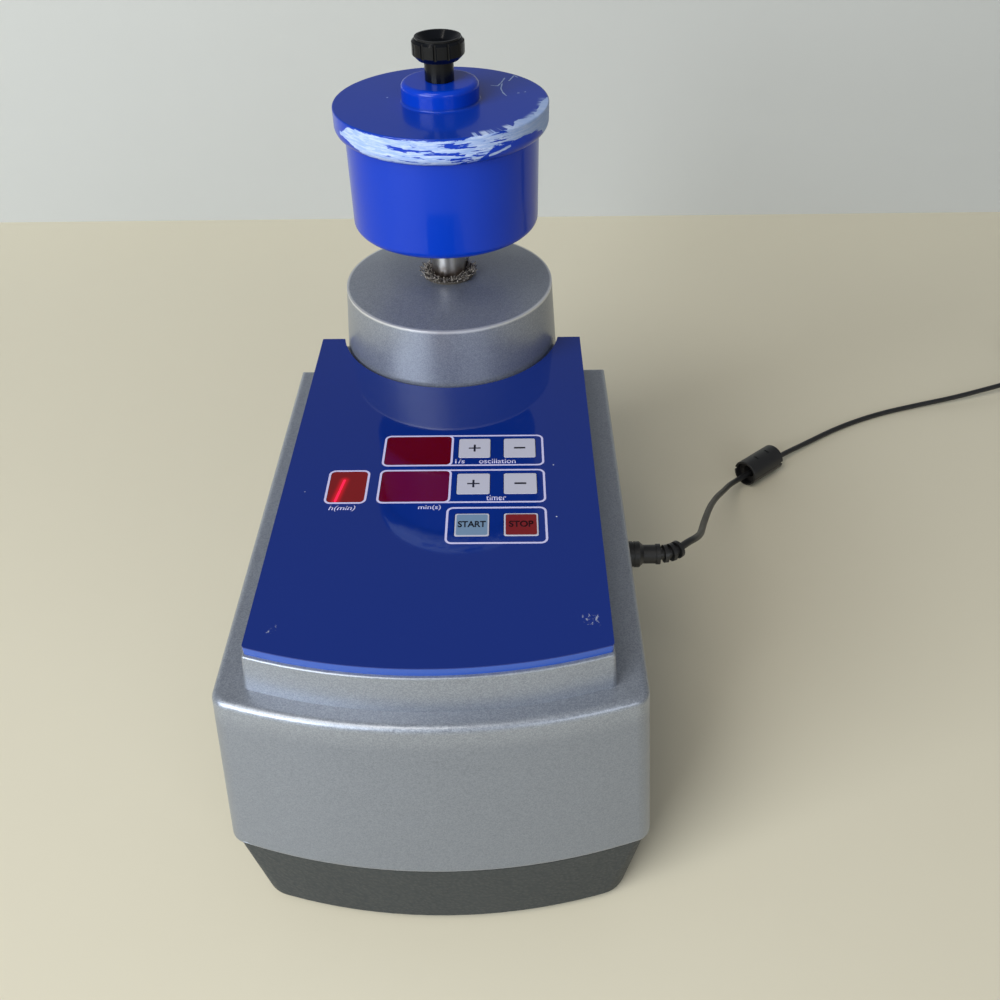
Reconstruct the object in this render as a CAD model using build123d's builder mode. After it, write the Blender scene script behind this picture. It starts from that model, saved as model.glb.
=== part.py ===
from build123d import *
import os
from math import cos, degrees, pi, radians, sin, sqrt, tan

# Bench bead mill homogenizer: a moulded housing with a round tower at its back, a control panel on a
# raised platform, and a lidded tube pot on a vertical shaft that a motor drives up and down.
# Millimetres. X runs to the right, Y to the back and Z up. The origin is on the table, under the middle
# of the housing's length and width.

os.makedirs("parts", exist_ok=True)

# Casing
body_half_width = 89.3
body_front = 254.9
tower_foot_radius = 63.9
rear_step = 1.6
front_radius = 260.0
front_corner_radius = 8.0
rear_corner_radius = 10.0
draft = 4.5
parting_height = 45.4
deck_height = 133.3
wall = 3.0
deck_edge_radius = 3.0
lower_edge_radius = 2.5

# Raised platform under the control panel
platform_half_width = 70.6
platform_front = 240.0
platform_height = 16.4
platform_draft = 6.5
platform_front_radius = 222.0
platform_corner_radius = 3.0
platform_edge_radius = 0.8

# Tower
tower_top = 182.7
tower_crown = 3.8

# Base tray
tray_bottom = 3.0
tray_floor = 4.0
tray_wall = 4.0
tray_inset = 1.7
tray_side_taper = 5.6
tray_front_taper = 1.8
tray_corner_radius = 15.0
tray_edge_radius = 2.0
shadow_gap = 1.2
lip_height = 5.0
lip_thickness = 2.0
lip_clearance = 0.35

# Feet and casing screws
foot_radius = 10.0
foot_recess = 1.5
foot_x = 54.0
front_foot_y = 232.0
rear_foot_y = 16.0
screw_x = 71.0
front_screw_y = 230.0
rear_screw_y = 22.0
post_radius = 5.5
boss_radius = 6.5
casing_screw_radius = 2.0
casing_screw_head_radius = 3.8
casing_screw_length = 28.0
screw_seat_height = 30.0

# Control panel
panel_thickness = 3.9
panel_half_width = 68.2
panel_front = 236.5
panel_back = 9.8
panel_front_radius = 219.5
panel_corner_radius = 1.5
tower_gap = 1.9
key_width = 14.4
key_depth = 14.2
key_gap = 0.2
key_travel = 0.5
key_corner_radius = 1.0
key_flange = 1.0
key_flange_thickness = 1.2
plus_key_x = 14.6
minus_key_x = 35.1
oscillation_row_y = 106.8
timer_row_y = 132.4
start_row_y = 159.4
window_width = 30.6
window_depth = 21.4
window_x = -11.0
hour_window_width = 16.9
hour_window_x = -40.3
oscillation_window_y = 108.5
timer_window_y = 134.0
window_rim = 0.1

# Control board under the panel
board_length = 92.0
board_width = 104.0
board_thickness = 1.6
board_drop = 8.1
board_x = -1.5
board_y = 131.0
display_depth = 16.0
display_height = 7.6
switch_size = 6.2
plunger_radius = 1.7
plunger_clearance = 0.1
standoff_radius = 3.0

# Tube head
shaft_radius = 8.6
running_clearance = 0.05
pot_lift = 33.0
pot_radius = 45.5
pot_height = 52.5
pot_wall = 3.0
pot_floor = 5.0
pot_edge_radius = 3.5
hub_radius = 13.0
hub_height = 18.3
shaft_socket_depth = 11.3
stud_radius = 4.0
stud_length = 90.5
stud_depth = 20.0
nut_height = 6.5
nut_width = 13.0
pocket_count = 12
pocket_circle = 29.5
pocket_radius = 5.7
pocket_depth = 33.0
insert_height = 37.3
insert_bore = 14.5
insert_clearance = 0.3

# Lid and knob
lid_radius = 50.0
lid_rise = 5.6
lid_plate = 4.3
lid_height = 12.6
lid_clearance = 0.35
lid_round = 5.2
lid_edge_radius = 0.7
lid_boss_radius = 18.0
lid_boss_height = 8.9
lid_boss_round = 2.4
lid_boss_foot = 0.8
seal_clearance = 0.3
seal_height = 1.8
seal_width = 2.2
knob_radius = 11.9
knob_head_height = 9.6
knob_neck_radius = 6.7
knob_neck_length = 9.0
knob_lift = 0.3
knob_rim_radius = 10.5
knob_rim_height = 0.9
knob_top_chamfer = 1.0
knob_bottom_chamfer = 2.4
flute_count = 12
flute_turn = -94.0
flute_radius = 0.8
knob_dish_radius = 9.5
knob_dish_floor_radius = 6.6
knob_dish_depth = 3.0
spigot_radius = 6.0
clip_radius = 8.0
clip_thickness = 1.2

# Drive
crank_throw = 4.0
crank_height = 66.0
crank_disc_radius = 26.0
crank_disc_thickness = 10.0
crank_disc_gap = 6.0
roller_radius = 8.0
roller_width = 10.0
slot_clearance = 0.4
crank_pin_radius = 3.0
yoke_half_width = 30.0
yoke_half_depth = 8.0
yoke_half_height = 16.0
yoke_clamp_radius = 12.5
yoke_clamp_top = 97.0
pad_clearance = 0.3
motor_radius = 26.0
motor_length = 76.0
motor_shaft_radius = 4.0

# Motor driver board
driver_board_ahead = 200.0
driver_board_width = 90.0
driver_board_length = 58.0
driver_board_lift = 8.0

# Chassis
mount_height = 12.0
mount_radius = 8.0
mount_waist = 2.0
chassis_thickness = 4.0
chassis_half_width = 58.0
chassis_front = 140.0
chassis_rear_radius = 51.0
column_flange = 8.0
leg_inner = 33.0
leg_thickness = 8.0
leg_half_depth = 16.0
column_bridge_bottom = 104.0
column_bridge_top = 116.0
column_radius = 19.0
column_drop = 10.7
bush_wall = 2.4
bush_length = 18.0
bush_collar = 2.0
felt_width = 3.8
felt_clearance = 0.3
felt_proud = 1.2

# Power inlet, plug and lead
inlet_drop = 29.3
inlet_y = 125.5
inlet_radius = 5.6
inlet_length = 16.0
barrel_radius = 2.75
barrel_length = 9.5
barrel_clearance = 0.1
plug_flange_radius = 6.2
plug_flange_length = 7.0
plug_ring = 1.9
plug_groove = 0.4
plug_body_radius = 4.5
plug_body_length = 8.0
plug_gap = 0.3
plug_rib_radius = 4.3
plug_rib_count = 3
plug_rib_thickness = 1.8
relief_bend_radius = 14.0
relief_turn = 42.0
relief_core_radius = 2.7
lead_radius = 1.8
ferrite_x = 188.7
ferrite_behind = 53.3
ferrite_turn = 39.3
ferrite_radius = 8.7
ferrite_length = 29.4
ferrite_bore = 4.3
ferrite_wall = 1.2
ferrite_split = 0.3
ferrite_recess = 4.5
ferrite_notch = 2.2
ferrite_latch_width = 1.0
ferrite_latch_length = 3.4
coil_x = 455.0
coil_behind = 202.0
coil_mean_radius = 19.0
coil_turns_across = 3
coil_turns_high = 3
tie_thickness = 0.8
tie_width = 7.0
tie_clearance = 0.1
supply_x = 530.0
supply_behind = 183.0
supply_length = 74.0
supply_depth = 32.0
supply_height = 44.0
supply_pin_radius = 2.0
supply_pin_length = 19.0
supply_pin_spacing = 19.0

# Places worked out from the sizes above
head_y = (body_front - tower_foot_radius) / 2
tray_top = parting_height - shadow_gap
platform_top = deck_height + platform_height
panel_top = platform_top + panel_thickness
chassis_bottom = tray_bottom + tray_floor + mount_height
chassis_top = chassis_bottom + chassis_thickness
board_top = platform_top - board_drop
column_top = tower_top - column_drop
pot_bottom = tower_top + pot_lift
pot_top = pot_bottom + pot_height
hub_top = pot_bottom + hub_height
shaft_socket_top = pot_bottom + shaft_socket_depth
stud_top = shaft_socket_top - stud_depth + stud_length
lid_top = pot_top + lid_rise
lid_underside = lid_top - lid_plate
lid_skirt_bottom = lid_top - lid_height
lid_boss_top = lid_top + lid_boss_height
knob_head_bottom = lid_boss_top + knob_lift + knob_neck_length
knob_top = knob_head_bottom + knob_head_height
inlet_height = deck_height - inlet_drop
disc_back = head_y - yoke_half_depth - crank_disc_gap
disc_front = disc_back - crank_disc_thickness
bracket_back = disc_front - 6.0
bracket_front = bracket_back - 4.0


def casing_inset(height):
    """How far the casing's walls have drawn in at a height."""
    return (height - parting_height) * tan(radians(draft))


def outline(half_width, front, rear, arc_radius, front_corner, rear_corner):
    """Plan outline with straight sides, a bowed front and rounded corners."""
    sagitta = arc_radius - sqrt(arc_radius**2 - half_width**2)
    corner_y = front + sagitta
    with BuildSketch() as plan:
        with BuildLine():
            Line((-half_width, rear), (-half_width, corner_y))
            ThreePointArc((-half_width, corner_y), (0, front), (half_width, corner_y))
            Line((half_width, corner_y), (half_width, rear))
            Line((half_width, rear), (-half_width, rear))
        make_face()
        corners = plan.vertices().sort_by(Axis.Y)
        fillet(corners[:2], front_corner)
        fillet(corners[2:], rear_corner)
    return plan.sketch


def facing_front(x, y, z):
    """A plane that looks to the front, with its own x to the right."""
    return Plane(origin=(x, y, z), x_dir=(1, 0, 0), z_dir=(0, -1, 0))


def facing_side(x, y, z):
    """A plane that looks to the right, with its own x to the back."""
    return Plane(origin=(x, y, z), x_dir=(0, 1, 0), z_dir=(1, 0, 0))


standing = (Align.CENTER, Align.CENTER, Align.MIN)
hanging = (Align.CENTER, Align.CENTER, Align.MAX)


def save(part, name):
    part.label = name
    export_step(part, f"parts/{name}.step")


def casing_form(shell):
    """The housing's outer form, or the hollow inside it where shell is the wall's thickness."""
    low = parting_height if shell == 0 else parting_height - 2
    deck = deck_height - shell
    with BuildPart() as form:
        for level in (low, deck):
            with BuildSketch(Plane.XY.offset(level)):
                spread = casing_inset(level) + shell
                add(outline(body_half_width - spread, head_y - body_front + spread,
                            head_y - rear_step - spread, front_radius - spread,
                            front_corner_radius - shell / 2, rear_corner_radius))
        loft(ruled=True)
        if shell == 0:
            fillet(form.faces().sort_by(Axis.Z)[-1].edges(), deck_edge_radius)
        with BuildSketch(Plane.XY.offset(deck - 1)):
            back = head_y - rear_step - casing_inset(deck_height) - shell
            add(outline(platform_half_width - shell, head_y - platform_front + shell, back,
                        platform_front_radius, platform_corner_radius, platform_corner_radius))
        extrude(amount=platform_height + 1, taper=platform_draft)
        if shell == 0:
            fillet(form.faces().sort_by(Axis.Z)[-1].edges(), platform_edge_radius)
        with BuildSketch(Plane.XZ.offset(-head_y)):
            foot = tower_foot_radius - casing_inset(low) - shell
            shoulder = tower_foot_radius - casing_inset(tower_top) - shell
            with BuildLine():
                Line((0, low), (foot, low))
                Line((foot, low), (shoulder, tower_top - shell))
                crown = tower_top - shell + tower_crown
                middle = tower_top - shell + 0.75 * tower_crown
                ThreePointArc((shoulder, tower_top - shell), (shoulder / 2, middle), (0, crown))
                Line((0, crown), (0, low))
            make_face()
        revolve(axis=Axis((0, head_y, 0), (0, 0, 1)))
    return form.part


screw_spots = [(-screw_x, head_y - front_screw_y), (screw_x, head_y - front_screw_y),
               (-screw_x, head_y - rear_screw_y), (screw_x, head_y - rear_screw_y)]
foot_spots = [(-foot_x, head_y - front_foot_y), (foot_x, head_y - front_foot_y),
              (-foot_x, head_y - rear_foot_y), (foot_x, head_y - rear_foot_y)]
plus_minus = [(plus_key_x, "up"), (minus_key_x, "down")]
key_spots = {}
for key_x, sense in plus_minus:
    key_spots[f"oscillation_{sense}_key"] = (key_x, head_y - oscillation_row_y)
    key_spots[f"timer_{sense}_key"] = (key_x, head_y - timer_row_y)
key_spots["start_key"] = (plus_key_x, head_y - start_row_y)
key_spots["stop_key"] = (minus_key_x, head_y - start_row_y)
window_spots = {
    "oscillation_window": (window_x, head_y - oscillation_window_y, window_width),
    "timer_window": (window_x, head_y - timer_window_y, window_width),
    "hour_window": (hour_window_x, head_y - timer_window_y, hour_window_width),
}
opening_margin = key_flange + 0.6

# Housing: deck, platform and tower moulded as one thin shell, open below
outer_form = casing_form(0)
inner_form = casing_form(wall)
felt_radius = shaft_radius + felt_clearance + felt_width
with BuildPart() as housing:
    add(outer_form)
    lower_edges = housing.faces().sort_by(Axis.Z)[0].edges().filter_by(GeomType.LINE, reverse=True)
    fillet(lower_edges.sort_by(Axis.Y)[:3], lower_edge_radius)
    add(inner_form, mode=Mode.SUBTRACT)
    with Locations(*[Location((x, y, parting_height + 0.6)) for x, y in screw_spots]):
        Cylinder(post_radius, deck_height - wall - parting_height, align=standing)
    with Locations(*[Location((x, y, parting_height + 0.6)) for x, y in screw_spots]):
        Cylinder(casing_screw_radius, 16, align=standing, mode=Mode.SUBTRACT)
    # Shaft hole in the tower's crown, with a counterbore that holds the wiper felt
    with Locations((0, head_y, tower_top - wall)):
        Cylinder(felt_radius - 2.0, 20, align=standing, mode=Mode.SUBTRACT)
    with Locations((0, head_y, tower_top)):
        Cylinder(felt_radius, 20, align=standing, mode=Mode.SUBTRACT)
    # Opening under the panel for the displays and the keys
    with BuildSketch(Plane.XY.offset(platform_top + 1)):
        low_x = hour_window_x - hour_window_width / 2 - opening_margin
        high_x = minus_key_x + key_width / 2 + opening_margin
        low_y = head_y - start_row_y - key_depth / 2 - opening_margin
        high_y = head_y - oscillation_window_y + window_depth / 2 + opening_margin
        with Locations(((low_x + high_x) / 2, (low_y + high_y) / 2)):
            RectangleRounded(high_x - low_x, high_y - low_y, 1)
    extrude(amount=-wall - 2, mode=Mode.SUBTRACT)
    # Round hole for the power inlet in the right wall
    with Locations(Plane.YZ.offset(body_half_width - 20)):
        with Locations((head_y - inlet_y, inlet_height)):
            Cylinder(inlet_radius, body_half_width, align=standing, mode=Mode.SUBTRACT)
save(housing.part, "housing")


def tray_block(shell, low, high):
    """The tray's outer form, or the hollow inside it where shell is the wall's thickness."""
    share = (tray_top - high) / (tray_top - tray_bottom)
    foot_share = (tray_top - low) / (tray_top - tray_bottom)
    with BuildPart() as block:
        for level, part_of in ((low, foot_share), (high, share)):
            with BuildSketch(Plane.XY.offset(level)):
                side = tray_inset + shell + tray_side_taper * part_of
                front = tray_inset + shell + tray_front_taper * part_of
                corner = front_corner_radius + (tray_corner_radius - front_corner_radius) * part_of
                add(outline(body_half_width - side, head_y - body_front + front, head_y - rear_step - side,
                            front_radius, corner, rear_corner_radius))
        loft(ruled=True)
        with BuildSketch(Plane.XZ.offset(-head_y)):
            rear_radius = tower_foot_radius - tray_inset - shell
            with BuildLine():
                Polyline((0, low), (rear_radius - tray_side_taper * foot_share, low),
                         (rear_radius - tray_side_taper * share, high), (0, high), close=True)
            make_face()
        revolve(axis=Axis((0, head_y, 0), (0, 0, 1)))
    return block.part


# Base tray: floor, tapered walls, a lip that centres the housing, screw towers and foot recesses
tray_outer = tray_block(0, tray_bottom, tray_top)
lip_outer_inset = wall + lip_clearance + casing_inset(tray_top + lip_height + shadow_gap)
with BuildPart() as base_tray:
    add(tray_outer)
    bottom_edges = base_tray.faces().sort_by(Axis.Z)[0].edges()
    fillet(bottom_edges.sort_by(Axis.Y)[:3], tray_edge_radius)
    with BuildSketch(Plane.XY.offset(tray_top - 3)):
        add(outline(body_half_width - lip_outer_inset, head_y - body_front + lip_outer_inset,
                    head_y - rear_step - lip_outer_inset, front_radius, front_corner_radius - 2,
                    rear_corner_radius))
        with Locations((0, head_y)):
            Circle(tower_foot_radius - lip_outer_inset)
    extrude(amount=lip_height + 3)
    with BuildSketch(Plane.XY.offset(tray_top - 6)):
        hollow = lip_outer_inset + lip_thickness
        add(outline(body_half_width - hollow, head_y - body_front + hollow, head_y - rear_step - hollow,
                    front_radius, front_corner_radius - 3, rear_corner_radius))
        with Locations((0, head_y)):
            Circle(tower_foot_radius - hollow)
    extrude(amount=lip_height + 10, mode=Mode.SUBTRACT)
    add(tray_block(tray_wall, tray_bottom + tray_floor, tray_top - 5), mode=Mode.SUBTRACT)
    with Locations(*[Location((x, y, tray_bottom + 1)) for x, y in screw_spots]):
        Cylinder(boss_radius, parting_height + 0.6 - tray_bottom - 1, align=standing)
    with Locations(*[Location((x, y, tray_bottom - 1)) for x, y in screw_spots]):
        Cylinder(casing_screw_radius + 0.2, parting_height, align=standing,
                 mode=Mode.SUBTRACT)
        Cylinder(casing_screw_head_radius + 0.4, screw_seat_height + 1 - tray_bottom,
                 align=standing, mode=Mode.SUBTRACT)
    with Locations(*[Location((x, y, tray_bottom)) for x, y in foot_spots]):
        Cylinder(foot_radius, 2 * foot_recess, mode=Mode.SUBTRACT)
save(base_tray.part, "base_tray")

# Feet
with BuildPart() as rubber_feet:
    with Locations(*[Location((x, y, 0)) for x, y in foot_spots]):
        Cylinder(foot_radius, tray_bottom + foot_recess, align=standing)
    fillet(rubber_feet.edges().group_by(Axis.Z)[0], 1.2)
save(rubber_feet.part, "rubber_feet")

# Casing screws, driven up from below through the tray into the housing's posts
with BuildPart() as casing_screws:
    with Locations(*[Location((x, y, screw_seat_height)) for x, y in screw_spots]):
        Cylinder(casing_screw_radius - 0.02, casing_screw_length, align=standing)
        Cylinder(casing_screw_head_radius, 3.0, align=hanging)
    with Locations(*[Location((x, y, screw_seat_height - 3)) for x, y in screw_spots]):
        Box(4.6, 1.0, 2.4, mode=Mode.SUBTRACT)
        Box(1.0, 4.6, 2.4, mode=Mode.SUBTRACT)
save(casing_screws.part, "casing_screws")

# Control panel: a flat plate with a round notch for the tower, key openings and display openings
with BuildPart() as control_panel:
    with BuildSketch(Plane.XY.offset(platform_top)):
        add(outline(panel_half_width, head_y - panel_front, head_y - panel_back, panel_front_radius,
                    panel_corner_radius, panel_corner_radius))
        with Locations((0, head_y)):
            Circle(tower_foot_radius - casing_inset(panel_top) + tower_gap, mode=Mode.SUBTRACT)
        with Locations(*key_spots.values()):
            RectangleRounded(key_width + 2 * key_gap, key_depth + 2 * key_gap, key_corner_radius + key_gap,
                             mode=Mode.SUBTRACT)
        for x, y, width in window_spots.values():
            with Locations((x, y)):
                Rectangle(width, window_depth, mode=Mode.SUBTRACT)
    extrude(amount=panel_thickness)
save(control_panel.part, "control_panel")

# Red display filters, seated in the panel from edge to edge
for name, (x, y, width) in window_spots.items():
    with BuildPart() as window:
        with Locations((x, y, platform_top)):
            Box(width, window_depth, panel_thickness - window_rim, align=standing)
    save(window.part, name)

# Keys: a cap that fills its opening and a flange below the panel that keeps it in
key_bottom = platform_top - key_gap - key_flange_thickness
for name, (x, y) in key_spots.items():
    with BuildPart() as key:
        with Locations((x, y, key_bottom)):
            Box(key_width + 2 * key_flange, key_depth + 2 * key_flange, key_flange_thickness,
                align=standing)
        with BuildSketch(Plane.XY.offset(key_bottom)):
            with Locations((x, y)):
                RectangleRounded(key_width, key_depth, key_corner_radius)
        extrude(amount=panel_top - key_bottom)
        fillet(key.edges().group_by(Axis.Z)[-1], 0.25)
    save(key.part, name)

# Control board, hung on standoffs under the platform
board_corners = [(board_x + sx * (board_width / 2 - 5), head_y - board_y + sy * (board_length / 2 - 5))
                 for sx in (-1, 1) for sy in (-1, 1)]
with BuildPart() as control_board:
    with BuildSketch(Plane.XY.offset(board_top)):
        with Locations((board_x, head_y - board_y)):
            RectangleRounded(board_width, board_length, 3)
        with Locations(*board_corners):
            Circle(1.6, mode=Mode.SUBTRACT)
    extrude(amount=-board_thickness)
save(control_board.part, "control_board")

with BuildPart() as board_standoffs:
    with Locations(*[Location((x, y, board_top)) for x, y in board_corners]):
        Cylinder(standoff_radius, platform_top - wall - board_top, align=standing)
save(board_standoffs.part, "board_standoffs")

with BuildPart() as board_screws:
    with Locations(*[Location((x, y, board_top - board_thickness)) for x, y in board_corners]):
        Cylinder(2.8, 2.0, align=hanging)
        Cylinder(1.5, board_thickness, align=standing)
save(board_screws.part, "board_screws")

with BuildPart() as led_displays:
    for x, y, width in window_spots.values():
        with Locations((x, y, board_top)):
            Box(width - 4, display_depth, display_height, align=standing)
save(led_displays.part, "led_displays")

plunger_top = key_bottom - key_travel - plunger_clearance
with BuildPart() as key_switches:
    with Locations(*[Location((x, y, board_top)) for x, y in key_spots.values()]):
        Box(switch_size, switch_size, 3.4, align=standing)
        Cylinder(plunger_radius, plunger_top - board_top, align=standing)
save(key_switches.part, "key_switches")

# Chassis on four rubber mounts
mount_spots = [(sx * (chassis_half_width - 12), head_y - y)
               for sx in (-1, 1) for y in (chassis_front - 12, 30)]
with BuildPart() as rubber_mounts:
    for x, y in mount_spots:
        with BuildSketch(facing_front(x, y, tray_bottom + tray_floor)):
            with BuildLine():
                Polyline((0, mount_height), (0, 0), (mount_radius, 0))
                ThreePointArc((mount_radius, 0), (mount_radius - mount_waist, mount_height / 2),
                              (mount_radius, mount_height))
                Line((mount_radius, mount_height), (0, mount_height))
            make_face()
        revolve(axis=Axis((x, y, 0), (0, 0, 1)))
save(rubber_mounts.part, "rubber_mounts")

with BuildPart() as chassis_plate:
    with BuildSketch(Plane.XY.offset(chassis_bottom)):
        with Locations((0, head_y - (chassis_front + 15) / 2)):
            RectangleRounded(2 * chassis_half_width, chassis_front - 15, 6)
        with Locations((0, head_y)):
            Circle(chassis_rear_radius)
    extrude(amount=chassis_thickness)
save(chassis_plate.part, "chassis_plate")

# Bearing column: a foot, two legs that straddle the yoke, a bridge and a bored tube
bush_radius = shaft_radius + running_clearance + bush_wall
column_spots = [(sx * 36.0, head_y + sy * 22.0) for sx in (-1, 1) for sy in (-1, 1)]
with BuildPart() as bearing_column:
    with Locations((0, head_y, chassis_top)):
        Box(2 * (leg_inner + leg_thickness) + 4, 56, column_flange, align=standing)
    with Locations((-leg_inner, head_y, chassis_top), (leg_inner + leg_thickness, head_y, chassis_top)):
        Box(leg_thickness, 2 * leg_half_depth, column_bridge_top - chassis_top,
            align=(Align.MAX, Align.CENTER, Align.MIN))
    with Locations((0, head_y, column_bridge_bottom)):
        Box(2 * (leg_inner + leg_thickness), 2 * leg_half_depth, column_bridge_top - column_bridge_bottom,
            align=standing)
        Cylinder(column_radius, column_top - column_bridge_bottom, align=standing)
    fillet(bearing_column.edges().filter_by(Axis.Y).group_by(Axis.Z)[-1], 4)
    with Locations((0, head_y, column_bridge_bottom)):
        Cylinder(bush_radius, 2 * column_top, mode=Mode.SUBTRACT)
    with Locations(*column_spots):
        Cylinder(2.7, 2 * chassis_top + 2 * column_flange + 2, mode=Mode.SUBTRACT)
save(bearing_column.part, "bearing_column")

with BuildPart() as column_screws:
    with Locations(*[Location((x, y, chassis_top + column_flange)) for x, y in column_spots]):
        Cylinder(4.2, 4.0, align=standing)
        Cylinder(2.6, column_flange, align=hanging)
    with Locations(*[Location((x, y, chassis_top + column_flange + 4.0)) for x, y in column_spots]):
        Cylinder(2.0, 4.0, mode=Mode.SUBTRACT)
save(column_screws.part, "column_screws")

# Two collared bushes at the ends of the column's bore
for name, seat, collar_align, body_align in (
        ("lower_bush", column_bridge_bottom, Align.MAX, Align.MIN),
        ("upper_bush", column_top, Align.MIN, Align.MAX)):
    with BuildPart() as bush:
        with Locations((0, head_y, seat)):
            Cylinder(bush_radius, bush_length, align=(Align.CENTER, Align.CENTER, body_align))
            Cylinder(bush_radius + 2.5, bush_collar, align=(Align.CENTER, Align.CENTER, collar_align))
            Cylinder(shaft_radius + running_clearance, 3 * bush_length, mode=Mode.SUBTRACT)
    save(bush.part, name)

with BuildPart() as wiper_felt:
    with Locations((0, head_y, tower_top)):
        Cylinder(felt_radius, tower_crown + felt_proud, align=standing)
        Cylinder(shaft_radius + felt_clearance, 30, mode=Mode.SUBTRACT)
save(wiper_felt.part, "wiper_felt")

# Shaft, yoke and slide pads
with BuildPart() as drive_shaft:
    with Locations((0, head_y, crank_height + yoke_half_height - 2)):
        Cylinder(shaft_radius, shaft_socket_top - crank_height - yoke_half_height + 2,
                 align=standing)
    chamfer(drive_shaft.edges().group_by(Axis.Z)[-1], 0.8)
    with Locations((0, head_y, shaft_socket_top)):
        Cylinder(stud_radius, 2 * stud_depth, mode=Mode.SUBTRACT)
save(drive_shaft.part, "drive_shaft")

slot_half_height = roller_radius + slot_clearance
slot_half_width = crank_throw + roller_radius + slot_clearance + 0.6
with BuildPart() as yoke:
    with Locations((0, head_y, crank_height)):
        Box(2 * yoke_half_width, 2 * yoke_half_depth, 2 * yoke_half_height)
    fillet(yoke.edges().filter_by(Axis.Y), 4)
    with Locations((0, head_y, crank_height + yoke_half_height - 4)):
        Cylinder(yoke_clamp_radius, yoke_clamp_top - crank_height - yoke_half_height + 4,
                 align=standing)
    with BuildSketch(Plane.XZ.offset(-head_y)):
        with Locations((0, crank_height)):
            RectangleRounded(2 * slot_half_width, 2 * slot_half_height, slot_half_height - 0.5)
    extrude(amount=yoke_half_depth + 10, both=True, mode=Mode.SUBTRACT)
    with Locations((0, head_y, crank_height + yoke_half_height - 2)):
        Cylinder(shaft_radius, 40, align=standing, mode=Mode.SUBTRACT)
    # Clamp slit and its screw's hole at the front of the clamp ring
    with Locations((0, head_y - yoke_clamp_radius, yoke_clamp_top - 5.5)):
        Box(1.6, 16, 11.1, mode=Mode.SUBTRACT)
save(yoke.part, "yoke")

pad_thickness = leg_inner - pad_clearance - yoke_half_width
with BuildPart() as slide_pads:
    with Locations((-yoke_half_width - pad_thickness / 2, head_y, crank_height),
                   (yoke_half_width + pad_thickness / 2, head_y, crank_height)):
        Box(pad_thickness, 2 * yoke_half_depth - 2, 2 * yoke_half_height - 8)
save(slide_pads.part, "slide_pads")

# Pot with a hub that takes the shaft's end from below and the stud from above
with BuildPart() as pot:
    with BuildSketch(Plane.XZ.offset(-head_y)):
        with BuildLine():
            Polyline((shaft_radius, pot_bottom), (pot_radius - pot_edge_radius, pot_bottom))
            RadiusArc((pot_radius - pot_edge_radius, pot_bottom), (pot_radius, pot_bottom + pot_edge_radius),
                      -pot_edge_radius)
            Polyline((pot_radius, pot_bottom + pot_edge_radius), (pot_radius, pot_top),
                     (pot_radius - pot_wall, pot_top), (pot_radius - pot_wall, pot_bottom + pot_floor),
                     (hub_radius, pot_bottom + pot_floor), (hub_radius, hub_top), (stud_radius, hub_top),
                     (stud_radius, shaft_socket_top), (shaft_radius, shaft_socket_top),
                     (shaft_radius, pot_bottom))
        make_face()
    revolve(axis=Axis((0, head_y, 0), (0, 0, 1)))
save(pot.part, "pot")

with BuildPart() as head_stud:
    with Locations((0, head_y, stud_top)):
        Cylinder(stud_radius, stud_length, align=hanging)
    chamfer(head_stud.edges().group_by(Axis.Z)[-1], 1.0)
save(head_stud.part, "head_stud")

with BuildPart() as pot_nut:
    with BuildSketch(Plane.XY.offset(hub_top)):
        with Locations((0, head_y)):
            RegularPolygon(nut_width / 2, 6, major_radius=False)
            Circle(stud_radius, mode=Mode.SUBTRACT)
    extrude(amount=nut_height)
save(pot_nut.part, "pot_nut")

# Tube insert: a thick disc with a ring of blind pockets
insert_bottom = pot_bottom + pot_floor
insert_top = insert_bottom + insert_height
pocket_turns = [2 * pi * n / pocket_count for n in range(pocket_count)]
pockets = [(pocket_circle * cos(turn), head_y + pocket_circle * sin(turn)) for turn in pocket_turns]
with BuildPart() as tube_insert:
    with Locations((0, head_y, insert_bottom)):
        Cylinder(pot_radius - pot_wall - insert_clearance, insert_height, align=standing)
    fillet(tube_insert.edges().group_by(Axis.Z)[-1], 1.0)
    with Locations((0, head_y, insert_bottom)):
        Cylinder(insert_bore, 3 * insert_height, mode=Mode.SUBTRACT)
    with Locations(*[Location((x, y, insert_top)) for x, y in pockets]):
        Cylinder(pocket_radius, pocket_depth, align=hanging, mode=Mode.SUBTRACT)
save(tube_insert.part, "tube_insert")

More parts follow.
